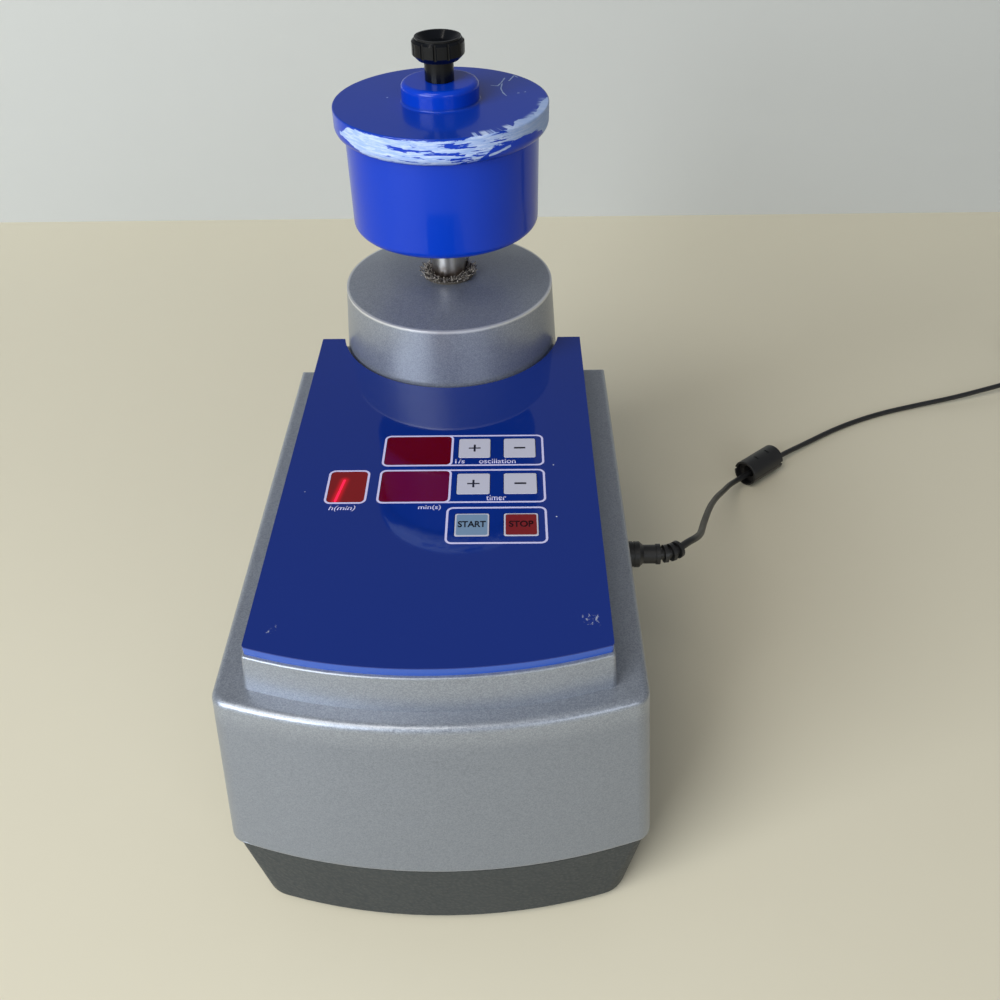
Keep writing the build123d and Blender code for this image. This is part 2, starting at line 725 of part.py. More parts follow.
# Lid: a turned cap with a boss, a skirt over the pot's rim and a groove for its seal
seal_inner = pot_radius - pot_wall + 0.4
seal_outer = seal_inner + seal_width
seal_bottom = pot_top + seal_clearance
with BuildPart() as lid:
    with BuildSketch(Plane.XZ.offset(-head_y)):
        skirt_inner = pot_radius + lid_clearance
        bore = spigot_radius + running_clearance
        with BuildLine():
            Polyline((bore, lid_underside), (seal_inner, lid_underside),
                     (seal_inner, seal_bottom + seal_height),
                     (seal_outer, seal_bottom + seal_height), (seal_outer, lid_underside),
                     (skirt_inner, lid_underside), (skirt_inner, lid_skirt_bottom),
                     (skirt_inner + 0.6, lid_skirt_bottom))
            edge_z = lid_skirt_bottom + lid_round
            slope = lid_radius - skirt_inner - 0.6
            ThreePointArc((skirt_inner + 0.6, lid_skirt_bottom),
                          (skirt_inner + 0.6 + 0.66 * slope, lid_skirt_bottom + 0.29 * lid_round),
                          (lid_radius, edge_z))
            Polyline((lid_radius, edge_z), (lid_radius, lid_top - lid_edge_radius))
            RadiusArc((lid_radius, lid_top - lid_edge_radius), (lid_radius - lid_edge_radius, lid_top),
                      -lid_edge_radius)
            Line((lid_radius - lid_edge_radius, lid_top), (lid_boss_radius + lid_boss_foot, lid_top))
            RadiusArc((lid_boss_radius + lid_boss_foot, lid_top), (lid_boss_radius, lid_top + lid_boss_foot),
                      lid_boss_foot)
            Line((lid_boss_radius, lid_top + lid_boss_foot), (lid_boss_radius, lid_boss_top - lid_boss_round))
            RadiusArc((lid_boss_radius, lid_boss_top - lid_boss_round),
                      (lid_boss_radius - lid_boss_round, lid_boss_top), -lid_boss_round)
            Polyline((lid_boss_radius - lid_boss_round, lid_boss_top), (bore, lid_boss_top),
                     (bore, lid_underside))
        make_face()
    revolve(axis=Axis((0, head_y, 0), (0, 0, 1)))
save(lid.part, "lid")

with BuildPart() as lid_seal:
    with BuildSketch(Plane.XY.offset(seal_bottom)):
        with Locations((0, head_y)):
            Circle(seal_outer)
            Circle(seal_inner, mode=Mode.SUBTRACT)
    extrude(amount=seal_height)
save(lid_seal.part, "lid_seal")

# Clamp knob, captive in the lid by a clip under the plate
clip_top = lid_underside - 0.3
insert_radius = stud_radius + 1.0
with BuildPart() as knob:
    with Locations((0, head_y, clip_top - clip_thickness - 1.5)):
        Cylinder(spigot_radius, lid_boss_top + knob_lift - clip_top + clip_thickness + 1.5,
                 align=standing)
    with Locations((0, head_y, lid_boss_top + knob_lift)):
        Cylinder(knob_neck_radius, knob_head_bottom - lid_boss_top - knob_lift + 1,
                 align=standing)
    with Locations((0, head_y, knob_head_bottom)):
        Cylinder(knob_radius, knob_head_height - knob_rim_height, align=standing)
    head_rims = knob.edges().filter_by(GeomType.CIRCLE).sort_by(SortBy.RADIUS)[-2:].sort_by(Axis.Z)
    chamfer(head_rims[0], knob_bottom_chamfer)
    chamfer(head_rims[1], knob_top_chamfer)
    with Locations((0, head_y, knob_head_bottom)):
        with PolarLocations(knob_radius, flute_count, start_angle=flute_turn):
            Cylinder(flute_radius, knob_head_height, align=standing,
                     mode=Mode.SUBTRACT)
    with Locations((0, head_y, knob_top)):
        Cylinder(knob_rim_radius, knob_head_height / 2, align=hanging)
        Cone(knob_dish_floor_radius, knob_dish_radius, knob_dish_depth,
             align=hanging, mode=Mode.SUBTRACT)
    # Groove for the clip, and the bore that holds the threaded insert
    with BuildSketch(Plane.XY.offset(clip_top)):
        with Locations((0, head_y)):
            Circle(spigot_radius + 1)
            Circle(spigot_radius - 0.8, mode=Mode.SUBTRACT)
    extrude(amount=-clip_thickness, mode=Mode.SUBTRACT)
    with Locations((0, head_y, stud_top + 0.5)):
        Cylinder(insert_radius, 60, align=hanging, mode=Mode.SUBTRACT)
save(knob.part, "knob")

with BuildPart() as knob_insert:
    with Locations((0, head_y, clip_top - clip_thickness - 1.5)):
        Cylinder(insert_radius, stud_top + 0.5 - clip_top + clip_thickness + 1.5,
                 align=standing)
        Cylinder(stud_radius + running_clearance, 3 * stud_top, mode=Mode.SUBTRACT)
save(knob_insert.part, "knob_insert")

with BuildPart() as knob_clip:
    with BuildSketch(Plane.XY.offset(clip_top)):
        with Locations((0, head_y)):
            Circle(clip_radius)
            Circle(spigot_radius - 0.8, mode=Mode.SUBTRACT)
        with Locations((0, head_y - clip_radius)):
            Rectangle(2 * spigot_radius - 3.2, clip_radius, mode=Mode.SUBTRACT)
    extrude(amount=-clip_thickness)
save(knob_clip.part, "knob_clip")

# Crank disc with its pin, roller and clip; the window on the pin's side balances it
drive_axis = facing_front(0, disc_back, crank_height)
pin_end = head_y + roller_width / 2 + 2.4
with BuildPart() as crank_disc:
    with BuildSketch(drive_axis):
        Circle(crank_disc_radius)
        Circle(motor_shaft_radius, mode=Mode.SUBTRACT)
    extrude(amount=crank_disc_thickness)
    with BuildSketch(drive_axis):
        with BuildLine():
            CenterArc((0, 0), crank_disc_radius - 4, -60, 120)
            CenterArc((0, 0), crank_disc_radius / 2, -60, 120)
            Line(((crank_disc_radius - 4) * cos(pi / 3), (crank_disc_radius - 4) * sin(pi / 3)),
                 (crank_disc_radius / 2 * cos(pi / 3), crank_disc_radius / 2 * sin(pi / 3)))
            Line(((crank_disc_radius - 4) * cos(pi / 3), -(crank_disc_radius - 4) * sin(pi / 3)),
                 (crank_disc_radius / 2 * cos(pi / 3), -crank_disc_radius / 2 * sin(pi / 3)))
        make_face()
    extrude(amount=crank_disc_thickness, mode=Mode.SUBTRACT)
    with BuildSketch(drive_axis):
        with Locations((crank_throw, 0)):
            Circle(crank_pin_radius + 1.8)
    extrude(amount=disc_back - head_y + roller_width / 2 + 0.3)
    with BuildSketch(drive_axis):
        with Locations((crank_throw, 0)):
            Circle(crank_pin_radius)
    extrude(amount=disc_back - pin_end)
save(crank_disc.part, "crank_disc")

with BuildPart() as crank_roller:
    with BuildSketch(facing_front(crank_throw, head_y, crank_height)):
        Circle(roller_radius)
        Circle(crank_pin_radius + running_clearance, mode=Mode.SUBTRACT)
    extrude(amount=roller_width / 2, both=True)
    chamfer(crank_roller.edges().filter_by(GeomType.CIRCLE).sort_by(SortBy.RADIUS)[-2:], 0.5)
save(crank_roller.part, "crank_roller")

with BuildPart() as roller_clip:
    with BuildSketch(facing_front(crank_throw, pin_end - 0.6, crank_height)):
        Circle(crank_pin_radius + 2.0)
        Circle(crank_pin_radius, mode=Mode.SUBTRACT)
    extrude(amount=1.0)
save(roller_clip.part, "roller_clip")

# Motor on its bracket in front of the column
bracket_plane = facing_front(0, bracket_back, crank_height)
motor_screw_spots = [(16 * cos(pi / 4 + n * pi / 2), 16 * sin(pi / 4 + n * pi / 2)) for n in range(4)]
bracket_spots = [(sx * 34.0, bracket_front - 12.0) for sx in (-1, 1)]
with BuildPart() as motor_bracket:
    with BuildSketch(bracket_plane):
        drop = crank_height - chassis_top
        with Locations((0, (motor_radius - drop) / 2)):
            RectangleRounded(2 * motor_radius + 6, drop + motor_radius, 2)
        Circle(11.0, mode=Mode.SUBTRACT)
        with Locations(*motor_screw_spots):
            Circle(2.1, mode=Mode.SUBTRACT)
    extrude(amount=bracket_back - bracket_front)
    with Locations((0, bracket_front, chassis_top)):
        Box(2 * motor_radius + 30, 24, 5, align=(Align.CENTER, Align.MAX, Align.MIN))
    with Locations(*[Location((x, y, chassis_top)) for x, y in bracket_spots]):
        Cylinder(2.6, 20, mode=Mode.SUBTRACT)
save(motor_bracket.part, "motor_bracket")

with BuildPart() as motor_body:
    with BuildSketch(facing_front(0, bracket_front, crank_height)):
        Circle(motor_radius)
    extrude(amount=motor_length)
    fillet(motor_body.edges().sort_by(Axis.Y)[0], 3)
    with BuildSketch(facing_front(0, bracket_front, crank_height)):
        Circle(10.9)
    extrude(amount=bracket_front - bracket_back)
    with BuildSketch(facing_front(0, bracket_back, crank_height)):
        Circle(motor_shaft_radius + running_clearance)
    extrude(amount=30, mode=Mode.SUBTRACT)
save(motor_body.part, "motor_body")

with BuildPart() as motor_shaft:
    with BuildSketch(facing_front(0, disc_back - 0.5, crank_height)):
        Circle(motor_shaft_radius)
    extrude(amount=disc_back - 0.5 - bracket_back + 29)
save(motor_shaft.part, "motor_shaft")

with BuildPart() as motor_screws:
    with BuildSketch(bracket_plane):
        with Locations(*motor_screw_spots):
            Circle(3.4)
    extrude(amount=-2.4)
    with BuildSketch(bracket_plane):
        with Locations(*motor_screw_spots):
            Circle(2.0)
    extrude(amount=bracket_back - bracket_front)
    with Locations(*[Location((x, y, chassis_top + 5)) for x, y in bracket_spots]):
        Cylinder(4.2, 4.0, align=standing)
        Cylinder(2.5, 5.0, align=hanging)
save(motor_screws.part, "motor_screws")

# Motor driver board at the front of the tray, on four pillars
driver_y = head_y - driver_board_ahead
driver_spots = [(sx * (driver_board_width / 2 - 5), driver_y + sy * (driver_board_length / 2 - 5))
                for sx in (-1, 1) for sy in (-1, 1)]
driver_height = tray_bottom + tray_floor + driver_board_lift
with BuildPart() as driver_board:
    with BuildSketch(Plane.XY.offset(driver_height)):
        with Locations((0, driver_y)):
            RectangleRounded(driver_board_width, driver_board_length, 3)
    extrude(amount=board_thickness)
    with Locations((-22, driver_y, driver_height + board_thickness)):
        Cylinder(8, 22, align=standing)
    with Locations((22, driver_y + 10, driver_height + board_thickness)):
        Box(28, 14, 16, align=standing)
save(driver_board.part, "driver_board")

with BuildPart() as driver_pillars:
    with Locations(*[Location((x, y, tray_bottom + tray_floor)) for x, y in driver_spots]):
        Cylinder(3.2, driver_height - tray_bottom - tray_floor, align=standing)
save(driver_pillars.part, "driver_pillars")

# Power inlet through the right wall
inlet_face = body_half_width - casing_inset(inlet_height) + 1.2
inlet_plane = facing_side(inlet_face, head_y - inlet_y, inlet_height)
with BuildPart() as power_inlet:
    with BuildSketch(inlet_plane):
        Circle(inlet_radius)
    extrude(amount=-inlet_length)
    with BuildSketch(inlet_plane):
        Circle(barrel_radius + barrel_clearance)
    extrude(amount=-barrel_length - 0.5, mode=Mode.SUBTRACT)
save(power_inlet.part, "power_inlet")

nut_x = inlet_face - 1.2 - wall / cos(radians(draft)) - inlet_radius * tan(radians(draft)) - 0.3
with BuildPart() as inlet_nut:
    with BuildSketch(facing_side(nut_x, head_y - inlet_y, inlet_height)):
        RegularPolygon(inlet_radius + 2.2, 6, major_radius=False)
        Circle(inlet_radius, mode=Mode.SUBTRACT)
    extrude(amount=-2.5)
save(inlet_nut.part, "inlet_nut")

# Plug: barrel in the inlet, chamfered flange, round body and a ribbed strain relief that bends back
plug_face = inlet_face + plug_gap
plug_back = plug_face + plug_flange_length + plug_body_length
plug_y = head_y - inlet_y
with BuildPart() as dc_plug:
    with BuildSketch(Plane.XY.offset(inlet_height)):
        with BuildLine():
            Polyline((plug_face - barrel_length, plug_y), (plug_face - barrel_length, plug_y + barrel_radius),
                     (plug_face, plug_y + barrel_radius), (plug_face, plug_y + plug_flange_radius),
                     (plug_face + plug_ring, plug_y + plug_flange_radius),
                     (plug_face + plug_ring, plug_y + plug_flange_radius - plug_groove),
                     (plug_face + plug_ring + 2 * plug_groove, plug_y + plug_flange_radius - plug_groove),
                     (plug_face + plug_ring + 2 * plug_groove, plug_y + plug_flange_radius),
                     (plug_face + plug_flange_length - plug_ring, plug_y + plug_flange_radius),
                     (plug_face + plug_flange_length, plug_y + plug_body_radius),
                     (plug_back - plug_ring, plug_y + plug_body_radius),
                     (plug_back - plug_ring, plug_y + plug_body_radius + plug_groove),
                     (plug_back, plug_y + plug_body_radius + plug_groove), (plug_back, plug_y), close=True)
        make_face()
    revolve(axis=Axis((0, plug_y, inlet_height), (1, 0, 0)))
    with BuildLine():
        relief = CenterArc((plug_back, plug_y + relief_bend_radius, inlet_height), relief_bend_radius,
                           -90, relief_turn)
    with BuildSketch(Plane(origin=relief @ 0, z_dir=relief % 0)):
        Circle(relief_core_radius)
    sweep()
    for n in range(plug_rib_count):
        share = (n + 0.75) / plug_rib_count
        with BuildSketch(Plane(origin=relief @ share, z_dir=relief % share)):
            Circle(plug_rib_radius)
        extrude(amount=plug_rib_thickness / 2, both=True)
save(dc_plug.part, "dc_plug")
plug_tip = relief @ 1

# Snap-on ferrite lying on the table: two latched half shells round a split core, with the lead in its bore
ferrite_start = Vector(ferrite_x, head_y + ferrite_behind, ferrite_radius)
ferrite_way = Vector(cos(radians(ferrite_turn)), sin(radians(ferrite_turn)), 0)
ferrite_plane = Plane(origin=ferrite_start, x_dir=(0, 0, 1), z_dir=ferrite_way)
ferrite_flat = Plane(origin=ferrite_start, x_dir=ferrite_way, z_dir=(0, 0, 1))
with BuildPart() as ferrite_case:
    with BuildSketch(ferrite_plane):
        Circle(ferrite_radius)
    extrude(amount=ferrite_length)
    fillet(ferrite_case.edges(), 0.5)
    with BuildSketch(ferrite_plane):
        Circle(ferrite_radius - ferrite_wall)
    extrude(amount=ferrite_length, mode=Mode.SUBTRACT)
    with BuildSketch(ferrite_flat):
        with Locations((ferrite_length / 2, 0)):
            Rectangle(2 * ferrite_length, 3 * ferrite_radius)
    extrude(amount=ferrite_split / 2, both=True, mode=Mode.SUBTRACT)
    with BuildSketch(ferrite_flat):
        with Locations((0, ferrite_radius), (ferrite_length, -ferrite_radius)):
            Rectangle(2 * ferrite_notch, 2 * ferrite_notch)
    extrude(amount=ferrite_notch / 2, both=True, mode=Mode.SUBTRACT)
    with BuildSketch(ferrite_flat.offset(ferrite_radius - ferrite_wall / 2)):
        with Locations((0.34 * ferrite_length, 0), (0.7 * ferrite_length, 0)):
            Rectangle(ferrite_latch_width, ferrite_latch_length)
    extrude(amount=ferrite_wall, mode=Mode.SUBTRACT)
save(ferrite_case.part, "ferrite_case")

with BuildPart() as ferrite_core:
    with BuildSketch(ferrite_plane.offset(ferrite_recess)):
        Circle(ferrite_radius - ferrite_wall)
        Circle(ferrite_bore, mode=Mode.SUBTRACT)
    extrude(amount=ferrite_length - 2 * ferrite_recess)
    with BuildSketch(ferrite_flat):
        with Locations((ferrite_length / 2, 0)):
            Rectangle(2 * ferrite_length, 3 * ferrite_radius)
    extrude(amount=ferrite_split / 2, both=True, mode=Mode.SUBTRACT)
save(ferrite_core.part, "ferrite_core")

# Lead from the plug through the ferrite to the coil, resting on the table past the ferrite
ferrite_end = ferrite_start + ferrite_way * ferrite_length
coil_y = head_y + coil_behind
coil_bottom = tie_thickness
coil_height = 2 * coil_turns_high * lead_radius
lead_points = [
    tuple(plug_tip),
    tuple(plug_tip + (relief % 1) * 7),
    (120.8, head_y - 111.0, 100.8),
    (126.0, head_y - 99.0, 92.5),
    (131.5, head_y - 79.5, 80.5),
    (139.0, head_y - 55.0, 67.0),
    (147.5, head_y - 29.0, 52.0),
    (157.0, head_y - 4.0, 37.0),
    (166.5, head_y + 18.0, 23.0),
    (175.5, head_y + 37.5, 12.5),
    (ferrite_start.X - 2, ferrite_start.Y - 2.4, 7.6),
    (ferrite_end.X + 5, ferrite_end.Y + 3.2, 6.4),
    (240.0, head_y + 94.0, 3.0),
    (268.0, head_y + 114.0, 1.9),
    (300.0, head_y + 130.0, 1.9),
    (332.0, head_y + 140.5, 2.2),
    (364.0, head_y + 148.0, 4.2),
    (394.0, head_y + 157.0, 6.6),
    (428.0, head_y + 167.5, 9.2),
    (461.8, head_y + 176.8, 9.8),
]
tail_points = [
    (461.0, head_y + 182.6, 13.4),
    (476.0, head_y + 182.6, 15.0),
    (493.0, head_y + 183.0, 18.0),
    (506.0, head_y + 183.0, 22.0),
    (518.0, head_y + 183.0, 22.0),
]


def lead_tube(name, points):
    """A round tube along straight runs joined by the largest tangent arcs that the runs allow."""
    corners = [Vector(*p) for p in points]
    radii = []
    for before, here, after in zip(corners, corners[1:], corners[2:]):
        turn = (here - before).get_angle(after - here)
        shorter = min((here - before).length, (after - here).length)
        radii.append(0.45 * shorter / tan(radians(turn / 2)))
    print(name, "arc radii", [round(r) for r in radii])
    with BuildPart() as tube:
        with BuildLine() as way:
            FilletPolyline(*corners, radius=radii)
        with BuildSketch(Plane(origin=corners[0], z_dir=corners[1] - corners[0])):
            Circle(lead_radius)
        sweep()
    length = sum(edge.length for edge in way.edges())
    error = tube.part.volume / (pi * lead_radius**2 * length) - 1
    print(name, "length", round(length, 1), "volume error", round(error, 4))
    save(tube.part, name)


lead_tube("dc_lead", lead_points)
lead_tube("supply_lead", tail_points)

with BuildPart() as lead_coil:
    with BuildSketch(Plane.XZ.offset(-coil_y)):
        with Locations((coil_x + coil_mean_radius, coil_bottom + coil_height / 2)):
            RectangleRounded(2 * coil_turns_across * lead_radius, coil_height, lead_radius)
    revolve(axis=Axis((coil_x, coil_y, 0), (0, 0, 1)))
save(lead_coil.part, "lead_coil")

# The tie follows the coil's bend, a little looser at the sides
tie_angle = tie_width / coil_mean_radius
tie_start = pi - tie_angle / 2
tie_plane = Plane(origin=(coil_x, coil_y, 0), x_dir=(cos(tie_start), sin(tie_start), 0),
                  z_dir=(sin(tie_start), -cos(tie_start), 0))
with BuildPart() as lead_tie:
    with BuildSketch(tie_plane):
        with Locations((coil_mean_radius, coil_bottom + coil_height / 2)):
            inner_width = 2 * coil_turns_across * lead_radius + 2 * tie_clearance
            RectangleRounded(inner_width + 2 * tie_thickness, coil_height + 2 * tie_thickness, lead_radius)
            RectangleRounded(inner_width, coil_height, lead_radius - tie_thickness, mode=Mode.SUBTRACT)
    revolve(axis=Axis((coil_x, coil_y, 0), (0, 0, 1)), revolution_arc=degrees(tie_angle))
save(lead_tie.part, "lead_tie")

# Plug-in power supply with two round pins
supply_y = head_y + supply_behind
with BuildPart() as power_supply:
    with Locations((supply_x, supply_y, 0)):
        Box(supply_length, supply_depth, supply_height, align=(Align.MIN, Align.CENTER, Align.MIN))
    fillet(power_supply.edges().filter_by(Axis.X), 4)
    with BuildSketch(Plane(origin=(supply_x, supply_y, supply_height / 2), x_dir=(0, 1, 0), z_dir=(-1, 0, 0))):
        Circle(4.0)
    extrude(amount=supply_x - tail_points[-1][0], taper=6)
save(power_supply.part, "power_supply")

with BuildPart() as supply_pins:
    pin_x = supply_x + supply_length - 20
    for side in (-1, 1):
        with BuildSketch(Plane(origin=(pin_x, supply_y + supply_depth / 2,
                                       supply_height / 2 + side * supply_pin_spacing / 2),
                               x_dir=(1, 0, 0), z_dir=(0, 1, 0))):
            Circle(supply_pin_radius)
        extrude(amount=supply_pin_length)
save(supply_pins.part, "supply_pins")
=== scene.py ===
# %% [markdown]
# # A bench bead mill, dressed for its portrait
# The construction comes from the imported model, and this script adds the finish: paint, lacquer, print,
# rubber, felt and the lead. Everything is in metres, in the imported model's own frame: X to the right,
# Y to the back, Z up, with the table at zero.

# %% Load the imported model
from math import cos, pi, radians, sin, tau

import bmesh
import bpy
from mathutils import Matrix, Vector


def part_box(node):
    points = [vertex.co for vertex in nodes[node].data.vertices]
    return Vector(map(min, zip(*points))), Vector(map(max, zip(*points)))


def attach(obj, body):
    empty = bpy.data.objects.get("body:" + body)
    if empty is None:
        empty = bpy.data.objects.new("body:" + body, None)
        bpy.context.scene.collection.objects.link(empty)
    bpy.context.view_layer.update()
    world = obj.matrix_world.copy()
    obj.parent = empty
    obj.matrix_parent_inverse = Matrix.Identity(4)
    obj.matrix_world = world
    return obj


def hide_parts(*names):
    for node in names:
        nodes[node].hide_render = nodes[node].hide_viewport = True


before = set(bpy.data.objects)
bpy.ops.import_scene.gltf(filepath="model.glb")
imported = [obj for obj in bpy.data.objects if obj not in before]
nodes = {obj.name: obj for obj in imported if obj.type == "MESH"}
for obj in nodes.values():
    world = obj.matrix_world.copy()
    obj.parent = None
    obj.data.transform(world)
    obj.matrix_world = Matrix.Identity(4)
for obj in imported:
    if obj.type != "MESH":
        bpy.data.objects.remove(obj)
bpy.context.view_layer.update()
MM = 0.001
IN_MM = (1000, 1000, 1000)

# %% [markdown]
# ## Places on the instrument
# The shaft's axis stands behind the middle of the footprint. Places on the panel are measured forward from
# it, as a draughtsman would, because the panel's round notch is struck from the same centre. The tower's rim
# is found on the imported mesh: above the panel, no other place reaches as far out and up at once.

# %% The shaft's axis and the levels that later cells use
shaft_low, shaft_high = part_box("drive_shaft")
AXIS_Y = (shaft_low.y + shaft_high.y) / 2
PANEL_LOW, PANEL_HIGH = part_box("control_panel")
PANEL_TOP = PANEL_HIGH.z
PLATFORM_HEIGHT = 16.4 * MM
DECK = PANEL_LOW.z - PLATFORM_HEIGHT
LID_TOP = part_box("lid")[1].z


def ahead(distance):
    """The Y of a place that many millimetres in front of the shaft's axis."""
    return AXIS_Y - distance * MM


def from_axis(point):
    """The level distance of a point from the shaft's axis."""
    return (point.x ** 2 + (point.y - AXIS_Y) ** 2) ** 0.5


WELL_ABOVE = 20 * MM
on_tower = [v.co for v in nodes["housing"].data.vertices if v.co.z > PANEL_TOP + WELL_ABOVE]
tower_rim = max(on_tower, key=lambda point: from_axis(point) + point.z)
TOWER_RADIUS = from_axis(tower_rim)
TOWER_TOP = tower_rim.z
print("axis at y", round(AXIS_Y, 4), "panel top", round(PANEL_TOP, 4))
print("tower's rim at radius", round(TOWER_RADIUS, 4), "and height", round(TOWER_TOP, 4))

# %% [markdown]
# ## Camera
# A portrait needs its camera before anything else, because it decides how fine each finish must be. The lens
# and the stand were found by matching edges of the instrument with the photo. The camera's axes are worked
# out from three angles: the tilt down, the turn to the side and a small roll.

# %% Camera
CAMERA_PLACE = Vector((0.0304, -0.3706, 0.4261))
CAMERA_TILT = radians(40.20)
CAMERA_TURN = radians(-0.74)
CAMERA_ROLL = radians(0.92)
LENS = 35.53

forward = Vector((sin(CAMERA_TURN) * cos(CAMERA_TILT),
                  cos(CAMERA_TURN) * cos(CAMERA_TILT),
                  -sin(CAMERA_TILT)))
level = Vector((cos(CAMERA_TURN), -sin(CAMERA_TURN), 0))
below = forward.cross(level)
right = level * cos(CAMERA_ROLL) + below * sin(CAMERA_ROLL)
down = below * cos(CAMERA_ROLL) - level * sin(CAMERA_ROLL)

camera_data = bpy.data.cameras.new("camera")
camera_data.lens = LENS
camera_data.sensor_width = 36
camera_data.clip_start = 0.01
camera = bpy.data.objects.new("camera", camera_data)
bpy.context.scene.collection.objects.link(camera)
turned = Matrix((right, -down, -forward)).transposed().to_4x4()
camera.matrix_world = Matrix.Translation(CAMERA_PLACE) @ turned
bpy.context.scene.camera = camera
print("camera at", tuple(round(c, 3) for c in camera.location))

# %% [markdown]
# ## The lead
# A thin low-voltage lead leaves the plug, runs down to the table, passes through a ferrite and goes off to a
# plug-in supply. What the photo cuts off is wound up and tied. A NURBS curve is the natural choice: its
# control points are few and listed one by one, and the curve between them bends as a real lead does. The
# coil's turns are more points of the same curve, worked out by a loop.

# %% The lead's route in three stretches
LEAD_RADIUS = 1.8 * MM
PLUG_TIP = (0.11056, -0.02640, 0.1040)
from_plug = [
    PLUG_TIP,
    (0.1158, -0.0217, 0.1040),
    (0.1208, ahead(111.0), 0.1008),
    (0.1260, ahead(99.0), 0.0925),
    (0.1315, ahead(79.5), 0.0805),
    (0.1390, ahead(55.0), 0.0670),
    (0.1475, ahead(29.0), 0.0520),
    (0.1570, ahead(4.0), 0.0370),
    (0.1665, ahead(-18.0), 0.0230),
    (0.1755, ahead(-37.5), 0.0125),
    (0.1867, ahead(-50.9), 0.0076),
    (0.2164, ahead(-75.1), 0.0064),
    (0.2400, ahead(-94.0), 0.0030),
    (0.2680, ahead(-114.0), 0.0019),
    (0.3000, ahead(-130.0), 0.0019),
    (0.3320, ahead(-140.5), 0.0022),
    (0.3640, ahead(-148.0), 0.0042),
    (0.3940, ahead(-157.0), 0.0066),
    (0.4280, ahead(-167.5), 0.0092),
    (0.4618, ahead(-176.8), 0.0098),
]
to_supply = [
    (0.4610, ahead(-182.6), 0.0136),
    (0.4760, ahead(-182.6), 0.0150),
    (0.4930, ahead(-183.0), 0.0180),
    (0.5060, ahead(-183.0), 0.0220),
    (0.5180, ahead(-183.0), 0.0220),
]
print("points chosen by hand", len(from_plug) + len(to_supply))

# %% The coil: eight turns, wound inwards on top, then in two layers below
COIL_CENTRE = (0.455, ahead(-202.0))
COIL_START = radians(-58)
TURN_POINTS = 16
POINTS_LEFT_OUT = 3
LAYERS = {"top": 0.0098, "middle": 0.0062, "bottom": 0.0026}
RADII = {"outer": 22.6 * MM, "mean": 19.0 * MM, "inner": 15.4 * MM}
wound = [("top", "outer"), ("top", "mean"), ("middle", "inner"), ("bottom", "inner"), ("bottom", "mean"),
         ("bottom", "outer"), ("middle", "outer"), ("middle", "mean"), ("top", "inner")]


def on_coil(radius, angle, height):
    """A place at that radius and angle around the coil's centre."""
    return (COIL_CENTRE[0] + radius * cos(angle), COIL_CENTRE[1] + radius * sin(angle), height)


coil = []
for (layer, ring), (next_layer, next_ring) in zip(wound, wound[1:]):
    for step in range(TURN_POINTS):
        share = max(0.0, (step - 0.5 * TURN_POINTS) / (0.5 * TURN_POINTS))
        radius = RADII[ring] + (RADII[next_ring] - RADII[ring]) * share
        height = LAYERS[layer] + (LAYERS[next_layer] - LAYERS[layer]) * share
        coil.append(on_coil(radius, COIL_START + tau * step / TURN_POINTS, height))
coil = coil[:-POINTS_LEFT_OUT]
leave = [on_coil(RADII["inner"], radians(-130), LAYERS["top"]),
         on_coil(RADII["inner"], radians(-106), 0.0120)]
print("lead points", len(from_plug) + len(coil) + len(leave) + len(to_supply))


# %% The lead as a round NURBS curve
def round_curve(name, points, radius):
    """A curve of one open NURBS spline of order 3. Its points carry the radius, so its box is right too."""
    curve = bpy.data.curves.new(name, "CURVE")
    curve.dimensions = "3D"
    curve.bevel_depth = 1.0
    curve.bevel_resolution = 5
    curve.resolution_u = 8
    curve.use_fill_caps = True
    spline = curve.splines.new("NURBS")
    spline.points.add(len(points) - 1)
    for point, place in zip(spline.points, points):
        point.co = (*place, 1)
        point.radius = radius
    spline.order_u = 3
    spline.use_endpoint_u = True
    piece = bpy.data.objects.new(name, curve)
    bpy.context.scene.collection.objects.link(piece)
    return piece


def line_of(piece):
    """The points that a curve piece follows, read from the curve without its thickness."""
    bare = piece.data.copy()
    bare.bevel_depth = 0
    ghost = bpy.data.objects.new("ghost", bare)
    mesh = bpy.data.meshes.new_from_object(ghost)
    line = [v.co.copy() for v in mesh.vertices]
    bpy.data.objects.remove(ghost)
    return line


lead = round_curve("lead", from_plug + coil + leave + to_supply, LEAD_RADIUS)
lead_line = line_of(lead)
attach(lead, "base")
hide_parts("dc_lead", "lead_coil", "supply_lead")

# %% [markdown]
# ## Shader maths
# Every finish here is procedural, and procedural finishes are mostly arithmetic: distances, masks and
# blends. Written with nodes alone, one mask takes a page. A small class that wraps a socket and overloads
# Python's operators lets each mask be written as the formula that it is.


